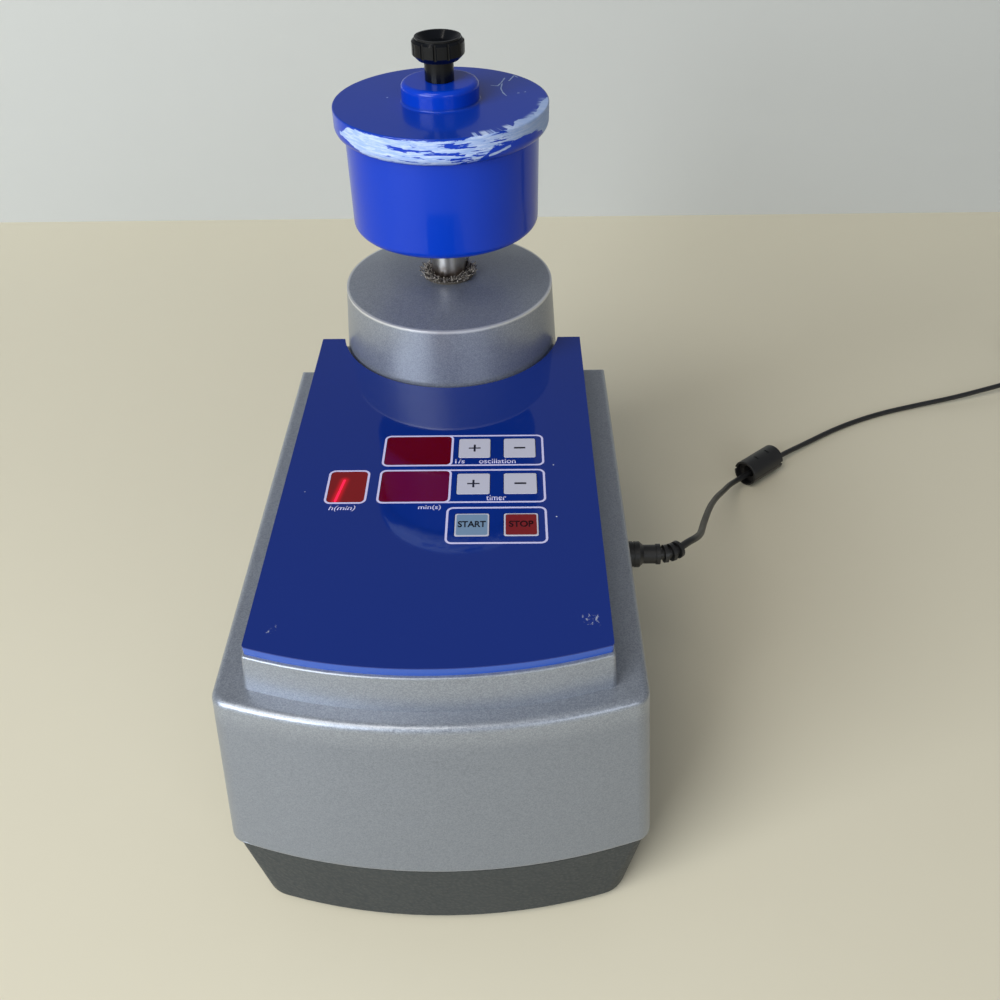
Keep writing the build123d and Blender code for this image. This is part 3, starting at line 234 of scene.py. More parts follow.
# %% A socket that Python can do sums with
class Value:
    """A socket of a shader tree. Sums on it add Math nodes."""

    def __init__(self, tree, socket):
        self.tree = tree
        self.socket = socket

    def math(self, operation, *others, first=None):
        node = self.tree.nodes.new("ShaderNodeMath")
        node.operation = operation
        terms = (self, *others) if first is None else (first, self)
        for socket, term in zip(node.inputs, terms):
            if isinstance(term, Value):
                self.tree.links.new(term.socket, socket)
            else:
                socket.default_value = term
        return Value(self.tree, node.outputs[0])

    def __add__(self, other):
        return self.math("ADD", other)

    def __radd__(self, other):
        return self.math("ADD", other)

    def __sub__(self, other):
        return self.math("SUBTRACT", other)

    def __rsub__(self, other):
        return self.math("SUBTRACT", first=other)

    def __mul__(self, other):
        return self.math("MULTIPLY", other)

    def __rmul__(self, other):
        return self.math("MULTIPLY", other)

    def __truediv__(self, other):
        return self.math("DIVIDE", other)

    def __rtruediv__(self, other):
        return self.math("DIVIDE", first=other)

    def __neg__(self):
        return self.math("MULTIPLY", -1.0)

    def __abs__(self):
        return self.math("ABSOLUTE")

    def __pow__(self, other):
        return self.math("POWER", other)

    def least(self, other):
        return self.math("MINIMUM", other)

    def most(self, other):
        return self.math("MAXIMUM", other)

    def above(self, level):
        return self.math("GREATER_THAN", level)


# %% A finish: one material, with a method for any node
class Finish:
    """A material under construction. node() adds any node and gives its first output or a named one."""

    def __init__(self, name, **sockets):
        self.material = bpy.data.materials.new(name)
        self.material.use_nodes = True
        self.tree = self.material.node_tree
        self.shader = self.tree.nodes["Principled BSDF"]
        for socket, value in sockets.items():
            self.set(socket.replace("_", " "), value)

    def feed(self, target, value):
        """Gives any socket a number, a colour or a value."""
        if isinstance(value, Value):
            self.tree.links.new(value.socket, target)
        elif isinstance(value, tuple) and len(value) == 3 and target.type == "RGBA":
            target.default_value = (*value, 1)
        else:
            target.default_value = value

    def set(self, socket, value):
        """Feeds a socket of the main shader."""
        self.feed(self.shader.inputs[socket], value)

    def node(self, kind, settings=None, inputs=None, out=0):
        node = self.tree.nodes.new(kind)
        for name, value in (settings or {}).items():
            setattr(node, name, value)
        for name, value in (inputs or {}).items():
            self.feed(node.inputs[name], value)
        return Value(self.tree, node.outputs[out])

    def place(self, origin=(0, 0, 0), scale=(1, 1, 1)):
        """Object coordinates, measured from an origin and stretched."""
        spot = self.node("ShaderNodeTexCoord", out="Object")
        moved = self.node("ShaderNodeVectorMath", {"operation": "SUBTRACT"}, {0: spot, 1: origin})
        return self.node("ShaderNodeVectorMath", {"operation": "MULTIPLY"}, {0: moved, 1: scale})

    def split(self, vector):
        parts = self.node("ShaderNodeSeparateXYZ", inputs={0: vector})
        outputs = parts.socket.node.outputs
        return [Value(self.tree, outputs[n]) for n in range(3)]

    def join(self, x, y, z):
        return self.node("ShaderNodeCombineXYZ", inputs={0: x, 1: y, 2: z})

    def noise(self, vector, scale, detail=2.0, roughness=0.5, distortion=0.0):
        return self.node("ShaderNodeTexNoise", inputs={"Vector": vector, "Scale": scale, "Detail": detail,
                                                       "Roughness": roughness, "Distortion": distortion})

    def cells(self, vector, scale, feature="F1", out="Distance", randomness=1.0):
        return self.node("ShaderNodeTexVoronoi", {"feature": feature},
                         {"Vector": vector, "Scale": scale, "Randomness": randomness}, out)

    def ramp(self, value, low, high):
        """0 below low and 1 above high, with a smooth turn between; low may be the larger."""
        return self.node("ShaderNodeMapRange", {"interpolation_type": "SMOOTHSTEP", "clamp": True},
                         {0: value, 1: low, 2: high})

    def mix(self, factor, colour_a, colour_b):
        return self.node("ShaderNodeMix", {"data_type": "RGBA"}, {0: factor, 6: colour_a, 7: colour_b}, out=2)

    def bump(self, height, strength, distance):
        """Raises and sinks the surface by a value."""
        inputs = {"Height": height, "Strength": strength, "Distance": distance}
        self.set("Normal", self.node("ShaderNodeBump", inputs=inputs))


def dress(finish, *names):
    """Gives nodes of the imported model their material."""
    for name in names:
        nodes[name].data.materials.clear()
        nodes[name].data.materials.append(finish.material)


print("shader maths ready")

# %% [markdown]
# ## Silver paint
# The housing is a plastic moulding under metallic paint: a mid-grey base with fine aluminium flakes that
# wink one by one, under a satin clear coat. The flakes are far too many to model, so they are Voronoi cells
# about 0.4 mm wide. Each cell is a little lighter or darker than the next and a little higher or lower, so
# its edges catch the light. A painted highlight lightens the paint along the tower's rim, and painted shade
# darkens the lower sides.

# %% Silver paint
FLAKE_SCALE = 2600.0
silver = Finish("silver_paint", Metallic=0.62, Coat_Weight=0.25, Coat_Roughness=0.22)
spot = silver.place()
flake = silver.split(silver.cells(spot, FLAKE_SCALE, out="Color"))[0]
broad = silver.noise(spot, 9.0, 3.0)
smudge = silver.noise(silver.place(scale=(1, 1, 2.5)), 38.0, 5.0, 0.65)
tone = flake * 0.42 + broad * 0.10 + smudge * 0.08
x, y, z = silver.split(silver.place((0, AXIS_Y, TOWER_TOP), IN_MM))
beyond = (x ** 2 + y ** 2) ** 0.5 - TOWER_RADIUS / MM
# Painted highlight: the colour turns almost white along the tower's rim.
painted_rim_highlight = silver.ramp((beyond ** 2 + z ** 2) ** 0.5 + smudge * 0.8, 2.0, 0.9)
# Painted shade: the sides below the deck are darker and bluer.
painted_low_shade = silver.ramp(z * MM + TOWER_TOP, DECK - 4 * MM, DECK - 14 * MM)
paint = silver.mix(tone, (0.215, 0.237, 0.283), (0.50, 0.54, 0.61))
paint = silver.mix(painted_low_shade * 0.30, paint, (0.125, 0.150, 0.200))
silver.set("Base Color", silver.mix(painted_rim_highlight * 0.75, paint, (0.86, 0.87, 0.88)))
silver.set("Roughness", 0.30 + flake * 0.16 + silver.ramp(smudge, 0.55, 0.75) * 0.07)
silver.bump(flake * 0.6 + silver.noise(spot, 700.0, 2.0) * 0.8, 0.22, 0.00006)
dress(silver, "housing")
print("silver paint on the housing")

# %% [markdown]
# ## Base tray
# The tray is dark grey plastic with a leather grain that hides scuffs. The grain is finer than the tray's
# mesh, so it is left to the bump: smooth Voronoi cells, bent by noise, give its rounded pebbles.

# %% Grained tray
tray = Finish("grained_tray", Specular_IOR_Level=0.35)
spot = tray.place()
warp = tray.node("ShaderNodeTexNoise", inputs={"Vector": spot, "Scale": 300.0, "Detail": 1.0}, out="Color")
bent = tray.node("ShaderNodeVectorMath", {"operation": "MULTIPLY_ADD"}, {0: warp, 1: (0.0012,) * 3, 2: spot})
pebble = tray.cells(bent, 620.0, feature="SMOOTH_F1")
fine = tray.noise(spot, 1800.0, 3.0)
tray.set("Base Color", tray.mix(tray.noise(spot, 14.0, 4.0), (0.031, 0.036, 0.038), (0.049, 0.055, 0.057)))
tray.set("Roughness", 0.46 + pebble * 0.35)
tray.bump(1.0 - pebble * 1.4 + fine * 0.25, 0.75, 0.00022)
dress(tray, "base_tray")
print("grain on the tray")

# %% [markdown]
# ## Rubber feet, mounts and seal
# Black rubber is never quite black: talc and dust leave it grey and matt. One fine noise drives colour,
# roughness and bump together, so that what looks dusty is rough too.

# %% Rubber
rubber = Finish("rubber", Specular_IOR_Level=0.3)
spot = rubber.place()
dust = rubber.noise(spot, 160.0, 5.0, 0.7)
rubber.set("Base Color", rubber.mix(dust, (0.012, 0.012, 0.013), (0.045, 0.044, 0.042)))
rubber.set("Roughness", 0.7 + dust * 0.2)
rubber.bump(dust, 0.2, 0.0001)
dress(rubber, "rubber_feet", "rubber_mounts", "lid_seal")
print("rubber done")

# %% [markdown]
# ## Control panel
# The panel is a thick plate of clear acrylic, printed deep blue from behind. So it is glossy, almost a
# mirror, its cut edges glow a lighter blue, and it gathers specks of lint and a few fine scuffs along the
# front, where hands rest. Clear plastic over print would need many bounces of light, so one glossy material
# stands in for both: a mask by height finds the cut edges, and random cells place the lint.

# %% Panel acrylic
panel = Finish("panel_acrylic", IOR=1.49, Coat_Weight=0.0)
spot = panel.place()
x, y, z = panel.split(spot)
edge = panel.ramp(z, PANEL_TOP - 0.25 * MM, PANEL_TOP - 0.6 * MM)
lint_cells = panel.cells(spot, 240.0)
lint_pick = panel.split(panel.cells(spot, 240.0, out="Color"))[0]
lint = lint_pick.above(0.975) * panel.ramp(lint_cells, 0.10, 0.05)


def smudge_at(finish, x, y, place, size, grain, cover):
    """Fine white scuffs inside a soft spot: a fine noise, cut off high, that fades with distance."""
    far = ((x - place[0]) ** 2 + (y - place[1]) ** 2) ** 0.5
    inside = finish.ramp(far, size, size * 0.2)
    return finish.ramp(grain + inside * cover, 1.02, 1.12)


grain = panel.noise(panel.place(scale=(1, 0.6, 1)), 900.0, 4.0, 0.75)
scuffs = smudge_at(panel, x, y, (0.0605, ahead(213)), 0.009, grain, 0.50)
scuffs = scuffs.most(smudge_at(panel, x, y, (-0.0585, ahead(217)), 0.007, grain, 0.44))
scuffs = scuffs.most(smudge_at(panel, x, y, (-0.010, ahead(222)), 0.008, grain, 0.40))
dirt = (lint + scuffs * 0.55).least(1.0)
blue = panel.mix(edge, (0.0035, 0.022, 0.190), (0.030, 0.090, 0.420))
panel.set("Base Color", panel.mix(dirt, blue, (0.62, 0.66, 0.74)))
panel.set("Roughness", 0.045 + dirt * 0.4 + edge * 0.12)
dress(panel, "control_panel")
print("panel done")

# %% [markdown]
# ## Display windows
# Each display hides behind a red filter, so a dark display shows as a deep glossy red and a lit one glows
# through it. The digit is part of the material: the distance to two short strokes makes a mask, and a second,
# wider mask around it is the glow that spreads in the filter.


# %% Distances that masks are made from
def seen(red, green, blue):
    """A colour as a screen shows it, 0 to 255, turned into the linear numbers that a shader wants."""
    return tuple(((c / 255 + 0.055) / 1.055) ** 2.4 if c > 10 else c / 3295 for c in (red, green, blue))


def to_stroke(x, y, start, end):
    """The distance from (x, y) to the straight stroke between two points."""
    run = (end[0] - start[0], end[1] - start[1])
    square = run[0] ** 2 + run[1] ** 2
    along = ((x - start[0]) * (run[0] / square) + (y - start[1]) * (run[1] / square)).most(0.0).least(1.0)
    return ((x - start[0] - along * run[0]) ** 2 + (y - start[1] - along * run[1]) ** 2) ** 0.5


def to_box(x, y, centre, half, corner):
    """The distance to a rounded rectangle, negative inside it."""
    past_x = abs(x - centre[0]) - (half[0] - corner)
    past_y = abs(y - centre[1]) - (half[1] - corner)
    outside = (past_x.most(0.0) ** 2 + past_y.most(0.0) ** 2) ** 0.5
    return outside + past_x.most(past_y).least(0.0) - corner


print("a mid grey of 128 is", round(seen(128, 128, 128)[0], 3), "in linear light")

# %% Red filters
filters = {"oscillation_window": seen(98, 2, 8), "timer_window": seen(100, 1, 20),
           "hour_window": seen(126, 10, 18)}
DIGIT_LOW = (-42.1, -129.4)
DIGIT_HIGH = (-44.5, -143.4)
LIT_RED = (1.0, 0.012, 0.085)
GLOW_RED = (0.9, 0.004, 0.02)
for name, tint in filters.items():
    red = Finish("red_filter_" + name.split("_")[0], IOR=1.49, Roughness=0.03)
    x, y, z = red.split(red.place((0, AXIS_Y, 0), IN_MM))
    cloud = red.noise(red.place(), 60.0, 2.0)
    red.set("Base Color", red.mix(cloud * 0.35, tint, tuple(0.55 * c for c in tint)))
    red.set("Roughness", 0.03 + red.noise(red.place(), 500.0, 3.0) * 0.05)
    if name == "hour_window":
        gap_low, gap_high = (tuple(a + (b - a) * share for a, b in zip(DIGIT_LOW, DIGIT_HIGH))
                             for share in (0.46, 0.54))
        far = to_stroke(x, y, DIGIT_LOW, gap_low).least(to_stroke(x, y, gap_high, DIGIT_HIGH))
        core = red.ramp(far, 0.75, 0.35)
        glow = red.ramp(far, 3.6, 0.4) ** 2.0
        red.set("Emission Color", red.mix(core, red.mix(glow * 0.45, (0, 0, 0), GLOW_RED), LIT_RED))
        red.set("Emission Strength", 1.0)
    dress(red, name)
print("filters", len(filters))

# %% [markdown]
# ## Keys
# Six keys sit flush in the panel. Four are pale grey with a plus or a minus, and the start and stop keys
# carry a coloured field inside a pale border. Field and sign are masks again, measured from each key's own
# middle, so one function finishes them all.

# %% Key caps
FIELD_HALF = (6.5, 6.4)
FIELD_CORNER = 0.9


def key_finish(name, cap, field=None, signs=(), ink=(0.01, 0.01, 0.014)):
    low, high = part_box(name)
    middle = (low + high) / 2
    finish = Finish("cap_" + name, IOR=1.5, Specular_IOR_Level=0.45)
    x, y, z = finish.split(finish.place(tuple(middle), IN_MM))
    wear = finish.noise(finish.place(), 260.0, 4.0, 0.6)
    colour = finish.mix(wear * 0.25, cap, tuple(0.82 * c for c in cap))
    if field:
        inside = finish.ramp(to_box(x, y, (0, 0), FIELD_HALF, FIELD_CORNER), 0.06, -0.06)
        colour = finish.mix(inside, colour, finish.mix(wear * 0.4, field, tuple(0.8 * c for c in field)))
    for width, depth in signs:
        stroke = finish.ramp(to_box(x, y, (0, 0), (width, depth), 0.1), 0.05, -0.05)
        colour = finish.mix(stroke, colour, ink)
    finish.set("Base Color", colour)
    finish.set("Roughness", 0.24 + wear * 0.16)
    finish.bump(wear, 0.1, 0.00005)
    dress(finish, name)


PLUS = ((2.7, 0.44), (0.48, 2.6))
MINUS = ((2.6, 0.60),)
PALE_CAP = seen(190, 190, 204)
for row in ("oscillation", "timer"):
    key_finish(row + "_up_key", PALE_CAP, signs=PLUS)
    key_finish(row + "_down_key", PALE_CAP, signs=MINUS)
key_finish("start_key", PALE_CAP, field=seen(116, 142, 168))
key_finish("stop_key", PALE_CAP, field=seen(120, 25, 24))
print("six keys finished")

# %% [markdown]
# ## Printed frames
# Thin pale lines group the displays and the keys. They are one shape in several sizes, which is what Geometry
# Nodes are for: a rounded rectangle inside a slightly larger one, filled, thickened by a few hundredths of a
# millimetre and moved to its place. The tree's named inputs are the sizes of a frame, so each frame is one
# call.


# %% A node tree that Python can write
class Recipe:
    """A Geometry Nodes tree under construction. Sums on its values work as they do in a shader."""

    def __init__(self, name):
        self.tree = bpy.data.node_groups.new(name, "GeometryNodeTree")
        self.start = self.tree.nodes.new("NodeGroupInput")
        self.end = self.tree.nodes.new("NodeGroupOutput")
        self.tree.interface.new_socket("Geometry", in_out="OUTPUT", socket_type="NodeSocketGeometry")

    def ask(self, name, kind):
        """A named input of the tree."""
        self.tree.interface.new_socket(name, in_out="INPUT", socket_type="NodeSocket" + kind)
        return Value(self.tree, self.start.outputs[name])

    def node(self, kind, settings=None, inputs=None, out=0):
        node = self.tree.nodes.new("GeometryNode" + kind if "Node" not in kind else kind)
        for name, value in (settings or {}).items():
            setattr(node, name, value)
        for name, value in (inputs or {}).items():
            for one in value if isinstance(value, list) else [value]:
                if isinstance(one, Value):
                    self.tree.links.new(one.socket, node.inputs[name])
                else:
                    node.inputs[name].default_value = one
        return Value(self.tree, node.outputs[out])

    def serve(self, geometry, finish):
        """Ends the tree: real geometry with its material."""
        real = self.node("RealizeInstances", inputs={"Geometry": geometry})
        done = self.node("SetMaterial", inputs={"Geometry": real, "Material": finish.material})
        self.tree.links.new(done.socket, self.end.inputs[0])


def made(name, recipe, body, slot, **inputs):
    """Runs a recipe and keeps the result as a plain mesh that rides on a body."""
    piece = bpy.data.objects.new(name, bpy.data.meshes.new(name + "_start"))
    bpy.context.scene.collection.objects.link(piece)
    modifier = piece.modifiers.new("recipe", "NODES")
    modifier.node_group = recipe.tree
    for item in recipe.tree.interface.items_tree:
        if item.in_out == "INPUT" and item.name in inputs:
            modifier[item.identifier] = inputs[item.name]
    graph = bpy.context.evaluated_depsgraph_get()
    mesh = bpy.data.meshes.new_from_object(piece.evaluated_get(graph))
    piece.modifiers.remove(modifier)
    piece.data = mesh
    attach(piece, body)
    return piece


# %% The tree of a printed frame
ink = Finish("pale_print", Roughness=0.5)
ink_fade = ink.noise(ink.place(), 350.0, 4.0, 0.7)
ink.set("Base Color", ink.mix(ink_fade * 0.5, seen(206, 202, 236), seen(186, 182, 224)))
ink.set("Roughness", 0.42 + ink_fade * 0.2)

PRINT_THICKNESS = 0.03 * MM
CORNER_STEPS = 7
frame_recipe = Recipe("printed_frame")
width = frame_recipe.ask("Width", "Float")
depth = frame_recipe.ask("Depth", "Float")
corner = frame_recipe.ask("Corner", "Float")
line = frame_recipe.ask("Line", "Float")
middle = frame_recipe.ask("Middle", "Vector")
rings = []
for inset in (0.0, 2.0):
    sides = frame_recipe.node("CurvePrimitiveQuadrilateral",
                              inputs={"Width": width - line * inset, "Height": depth - line * inset})
    rings.append(frame_recipe.node("FilletCurve", {"mode": "POLY"}, {
        "Curve": sides, "Count": CORNER_STEPS, "Radius": corner - line * inset / 2}))
pair = frame_recipe.node("JoinGeometry", inputs={"Geometry": rings})
face = frame_recipe.node("FillCurve", {"mode": "NGONS"}, {"Curve": pair})
thick = frame_recipe.node("ExtrudeMesh", {"mode": "FACES"}, {
    "Mesh": face, "Offset Scale": PRINT_THICKNESS, "Individual": False})
under = frame_recipe.node("FlipFaces", inputs={"Mesh": face})
whole = frame_recipe.node("JoinGeometry", inputs={"Geometry": [thick, under]})
closed = frame_recipe.node("MergeByDistance", inputs={"Geometry": whole, "Distance": PRINT_THICKNESS / 9})
frame_recipe.serve(frame_recipe.node("SetPosition", inputs={"Geometry": closed, "Offset": middle}), ink)
print("the frame's tree has", len(frame_recipe.tree.nodes), "nodes")

# %% Six frames, by their left and right edges, their distances ahead of the axis and their layer
LINE_WIDTH = 0.95 * MM
FRAME_CORNER = 3.0 * MM
PRINT_LEVEL = PANEL_TOP + 0.01 * MM
LAYER_RISE = 0.025 * MM
WINDOWS_LEFT, WINDOWS_RIGHT, KEYS_RIGHT = -26.9, 4.9, 46.0
OSCILLATION_ROW = (97.0, 119.9)
TIMER_ROW = (122.5, 145.4)
frames = {
    "oscillation_frame": (WINDOWS_LEFT, KEYS_RIGHT, *OSCILLATION_ROW, 0),
    "oscillation_window_frame": (WINDOWS_LEFT, WINDOWS_RIGHT, *OSCILLATION_ROW, 1),
    "timer_frame": (WINDOWS_LEFT, KEYS_RIGHT, *TIMER_ROW, 0),
    "timer_window_frame": (WINDOWS_LEFT, WINDOWS_RIGHT, *TIMER_ROW, 1),
    "start_stop_frame": (3.6, KEYS_RIGHT, 148.2, 171.2, 0),
    "hour_frame": (-49.4, -31.2, *TIMER_ROW, 0),
}
for name, (left, far_right, near, far, layer) in frames.items():
    centre = ((left + far_right) / 2 * MM, ahead((near + far) / 2), PRINT_LEVEL + LAYER_RISE * layer)
    made(name, frame_recipe, "base", "white_plastic", Width=(far_right - left) * MM, Depth=(far - near) * MM,
         Corner=FRAME_CORNER, Line=LINE_WIDTH, Middle=centre)

# %% [markdown]
# ## Lettering
# The words are generic ones: what a key or a display is for. A picture of them would blur at its edges.
# Blender's own plain font is a curve, so each word is made a mesh instead, fitted to its real width and
# height, laid flat on its carrier and given the thickness of print.

# %% Words
dark_ink = Finish("dark_print", Roughness=0.6, Specular_IOR_Level=0.1)
stop_ink = Finish("stop_print", Roughness=0.6, Specular_IOR_Level=0.1)
tones = {dark_ink: ((0.003, 0.004, 0.009), (0.008, 0.010, 0.018)),
         stop_ink: ((0.014, 0.001, 0.003), (0.028, 0.002, 0.005))}
for print_ink, (full, faded) in tones.items():
    print_ink.set("Base Color", print_ink.mix(print_ink.noise(print_ink.place(), 400.0), full, faded))


def word(name, text, left, far_right, near, far, finish, body, slot, level, slant=0.0, weight=0.0):
    """A word laid flat between two sides and two distances ahead of the axis."""
    curve = bpy.data.curves.new(name, "FONT")
    curve.body = text
    curve.shear = slant
    curve.offset = weight
    ghost = bpy.data.objects.new(name + "_curve", curve)
    bpy.context.scene.collection.objects.link(ghost)
    mesh = bpy.data.meshes.new_from_object(ghost.evaluated_get(bpy.context.evaluated_depsgraph_get()))
    bpy.data.objects.remove(ghost)
    xs = [v.co.x for v in mesh.vertices]
    ys = [v.co.y for v in mesh.vertices]
    wide = (far_right - left) * MM / (max(xs) - min(xs))
    tall = (far - near) * MM / (max(ys) - min(ys))
    for v in mesh.vertices:
        v.co = (left * MM + (v.co.x - min(xs)) * wide, ahead(far) + (v.co.y - min(ys)) * tall, level)
    shape = bmesh.new()
    shape.from_mesh(mesh)
    bmesh.ops.solidify(shape, geom=shape.faces[:], thickness=-PRINT_THICKNESS)
    bmesh.ops.recalc_face_normals(shape, faces=shape.faces[:])
    shape.to_mesh(mesh)
    shape.free()
    mesh.materials.clear()
    mesh.materials.append(finish.material)
    piece = bpy.data.objects.new(name, mesh)
    bpy.context.scene.collection.objects.link(piece)
    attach(piece, body)
    return piece


# Each word has its left and right ends, its near and far edges, its slant and the weight of its letters.
words = []
key_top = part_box("start_key")[1].z
for name, text, place, slant, weight in (
        ("unit_word", "1/s", (6.1, 10.4, 114.8, 118.0), 0, 0.014),
        ("oscillation_word", "oscillation", (16.8, 33.2, 114.8, 118.2), 0, 0.01),
        ("timer_word", "timer", (20.3, 28.9, 140.3, 143.8), 0, 0.01),
        ("hour_word", "h(min)", (-46.6, -35.2, 146.6, 150.3), 0.2, 0.01),
        ("minute_word", "min(s)", (-8.5, 1.2, 146.6, 150.0), 0, 0.012)):
    words.append(word(name, text, *place, ink, "base", "white_plastic", PRINT_LEVEL, slant, weight))
for name, text, place, print_ink, key in (
        ("start_word", "START", (8.7, 20.4, 157.1, 161.0), dark_ink, "start_key"),
        ("stop_word", "STOP", (30.0, 40.2, 157.1, 161.0), stop_ink, "stop_key")):
    words.append(word(name, text, *place, print_ink, key, "black_plastic", key_top, 0, 0.028))
print("words", len(words), "highest", round(max(v.co.z for w in words for v in w.data.vertices), 5))

# %% [markdown]
# ## Blue lacquer
# Pot and lid are turned aluminium under a strong blue lacquer. The pot is nearly as new. The lid's skirt has
# lost long flakes of paint where fingers and racks meet it, down to a pale primer, and its top carries a few
# fine scratches; the top face is also painted darker, as painted shade. Wear like this isn't random: it
# starts at an edge, runs with the rim and frays at its ends. So it is measured on the rim itself, as an angle
# around the axis and a depth below the top face.

# %% Blue lacquer on the pot
BLUE = (0.0, 0.036, 0.45)
BLUE_PALER = (0.001, 0.046, 0.50)
gloss = {"Specular_IOR_Level": 0.12, "Coat_Roughness": 0.07, "Coat_IOR": 1.4}
lacquer = Finish("blue_lacquer", Coat_Weight=0.5, **gloss)
spot = lacquer.place()
mottle = lacquer.noise(spot, 30.0, 4.0)
peel = lacquer.noise(spot, 900.0, 2.0)
lacquer.set("Base Color", lacquer.mix(mottle * 0.3, BLUE, BLUE_PALER))
lacquer.set("Roughness", 0.26 + mottle * 0.08)
lacquer.bump(peel, 0.12, 0.00005)
dress(lacquer, "pot")
print("lacquer on the pot")

# %% The lid's own coordinates: an angle from the front and a depth below its top face
BOSS_HEIGHT = 8.9 * MM
LID_FACE = LID_TOP - BOSS_HEIGHT
SKIRT_RADIUS = 50.0
worn = Finish("worn_blue_lacquer", **gloss)
x, y, z = worn.split(worn.place((0, AXIS_Y, LID_FACE), IN_MM))
angle = worn.node("ShaderNodeMath", {"operation": "ARCTAN2"}, {0: x, 1: -y}) * (180 / pi)
depth = -z
out = (x ** 2 + y ** 2) ** 0.5
arc = angle * (SKIRT_RADIUS * pi / 180)
on_skirt = worn.ramp(out, 44, 47)


def limit(start, *steps):
    """A level that changes by a smooth step between each pair of angles."""
    level = start
    for change, begin, end in steps:
        level = worn.ramp(angle, begin, end) * change + level
    return level


def to_strokes(x, y, strokes):
    """The distance to the nearest of several strokes."""
    nearest = to_stroke(x, y, *strokes[0])
    for start, end in strokes[1:]:
        nearest = nearest.least(to_stroke(x, y, start, end))
    return nearest


print("the lid's face is at", round(LID_FACE, 4))

# %% Flakes on the skirt
highest = limit(5.5, (-4.6, -62, -50), (-0.9, 13, 18))
lowest = limit(6.5, (5.5, -61, -33), (-1.2, 5, 20), (-5.6, 20, 32), (7.4, 58, 80))
fray = worn.noise(worn.join(arc * 0.16, depth * 0.7, 0.0), 1.0, 5.0, 0.72) - 0.5
fray_low = worn.noise(worn.join(arc * 0.13, depth * 0.55, 40.0), 1.0, 5.0, 0.75) - 0.5
skirt = worn.ramp(depth - highest + fray * 3.0, -0.12, 0.12)
skirt = skirt * worn.ramp(lowest - depth + fray_low * 5.5, -0.12, 0.12)
skirt = skirt * worn.ramp(angle + fray * 9, -62, -60.5) * worn.ramp(angle + fray * 12, 94, 88) * on_skirt
kept = [((-21.0, 4.5), (2.0, 6.0)), ((3.0, 6.6), (12.0, 7.4)), ((5.0, 2.9), (17.0, 4.2)),
        ((7.0, 9.8), (16.0, 10.0))]
streak = worn.noise(worn.join(arc * 0.085, depth * 0.85, 9.0), 1.0, 4.0, 0.6)
streak = streak + worn.ramp(to_strokes(arc, depth, kept), 1.5, 0.1) * 0.13
spared = worn.ramp(streak, 0.575, 0.60) * worn.ramp(angle, -30, -22) * worn.ramp(angle, 44, 36)
branch = worn.ramp(to_stroke(angle, depth, (27.6, 9.2), (39.6, 7.3)) + fray * 1.2, 0.75, 0.35)
skirt = (skirt * (1.0 - spared)).most(branch * on_skirt)
print("streaks of paint kept by hand", len(kept))

# %% Chips on the top face and the fine scratches near them
inner = limit(50.6, (-1.6, 36, 40), (-4.6, 41, 51), (3.2, 52, 60), (-1.1, 61, 73), (3.6, 84, 96))
top_fray = worn.noise(worn.join(arc * 0.34, out * 0.42, 3.0), 1.0, 3.0, 0.55) - 0.5
top = worn.ramp(out - inner + top_fray * 3.4, -0.1, 0.1)
top = top * worn.ramp(depth, 1.1, 0.7) * worn.ramp(angle, 34, 38)
scratches = [((28.3, 22.6), (27.7, 15.0)), ((27.7, 15.0), (28.7, 8.8)), ((28.7, 8.8), (30.3, 4.7)),
             ((23.1, 19.7), (26.2, 18.8)), ((26.2, 18.8), (27.9, 23.8)), ((27.9, 23.8), (29.5, 30.2)),
             ((31.6, 26.3), (34.1, 34.0)), ((34.1, 34.0), (35.8, 31.3)), ((35.5, 8.1), (36.3, 8.4)),
             ((38.8, 9.7), (39.2, 10.0)), ((49.2, -2.6), (49.4, -2.6)), ((-25.1, 4.0), (-24.9, 4.1))]
nearest = to_strokes(x, y, scratches)
fine = worn.noise(worn.place(), 900.0, 4.0, 0.7)
scratch = worn.ramp(nearest + fine * 1.1, 0.95, 0.65) * worn.ramp(depth, 1.0, 0.5)
print("scratches", len(scratches))

# %% Worn lacquer, put together
bare = skirt.most(top).most(scratch)
smear = worn.noise(worn.join(arc * 0.12, depth * 0.9, 21.0), 1.0, 5.0, 0.7)
primer = worn.mix(worn.ramp(smear, 0.42, 0.62), seen(152, 177, 228), seen(190, 206, 238))
primer = worn.mix(worn.ramp(angle, 25, 60) * 0.65, primer, seen(146, 166, 202))
mottle = worn.noise(worn.place(), 30.0, 4.0)
paint = worn.mix(mottle * 0.3, BLUE, BLUE_PALER)
# Painted shade: the lid's flat top face is darker and duller blue.
painted_top_shade = worn.ramp(depth, 1.0, 0.2) * worn.ramp(depth, -2.0, -1.0)
paint = worn.mix(painted_top_shade * 0.35, paint, (0.008, 0.032, 0.16))
worn.set("Base Color", worn.mix(bare, paint, primer))
worn.set("Roughness", 0.26 + mottle * 0.08 + bare * 0.24)
worn.set("Coat Weight", 0.5 - bare * 0.5)
worn.bump(0.5 - bare * 0.5 + worn.noise(worn.place(), 900.0, 2.0) * 0.06, 0.5, 0.00012)
dress(worn, "lid")
print("lid's nodes", len(worn.tree.nodes))

# %% [markdown]
# ## Black plastics
# The knob is glossy phenolic resin. Plug, ferrite case and supply are moulded in a duller black, and the
# lead's sheath is soft and slightly greasy. Three finishes from one function keep them related.


# %% Three black plastics
def black(name, tone, rough, grain, strength):
    finish = Finish(name, IOR=1.5)
    spot = finish.place()
    haze = finish.noise(spot, 120.0, 4.0, 0.65)
    finish.set("Base Color", finish.mix(haze, tuple(0.8 * c for c in tone), tuple(1.7 * c for c in tone)))
    finish.set("Roughness", rough + haze * 0.14)
    finish.bump(finish.noise(spot, grain, 3.0), strength, 0.00008)
    return finish


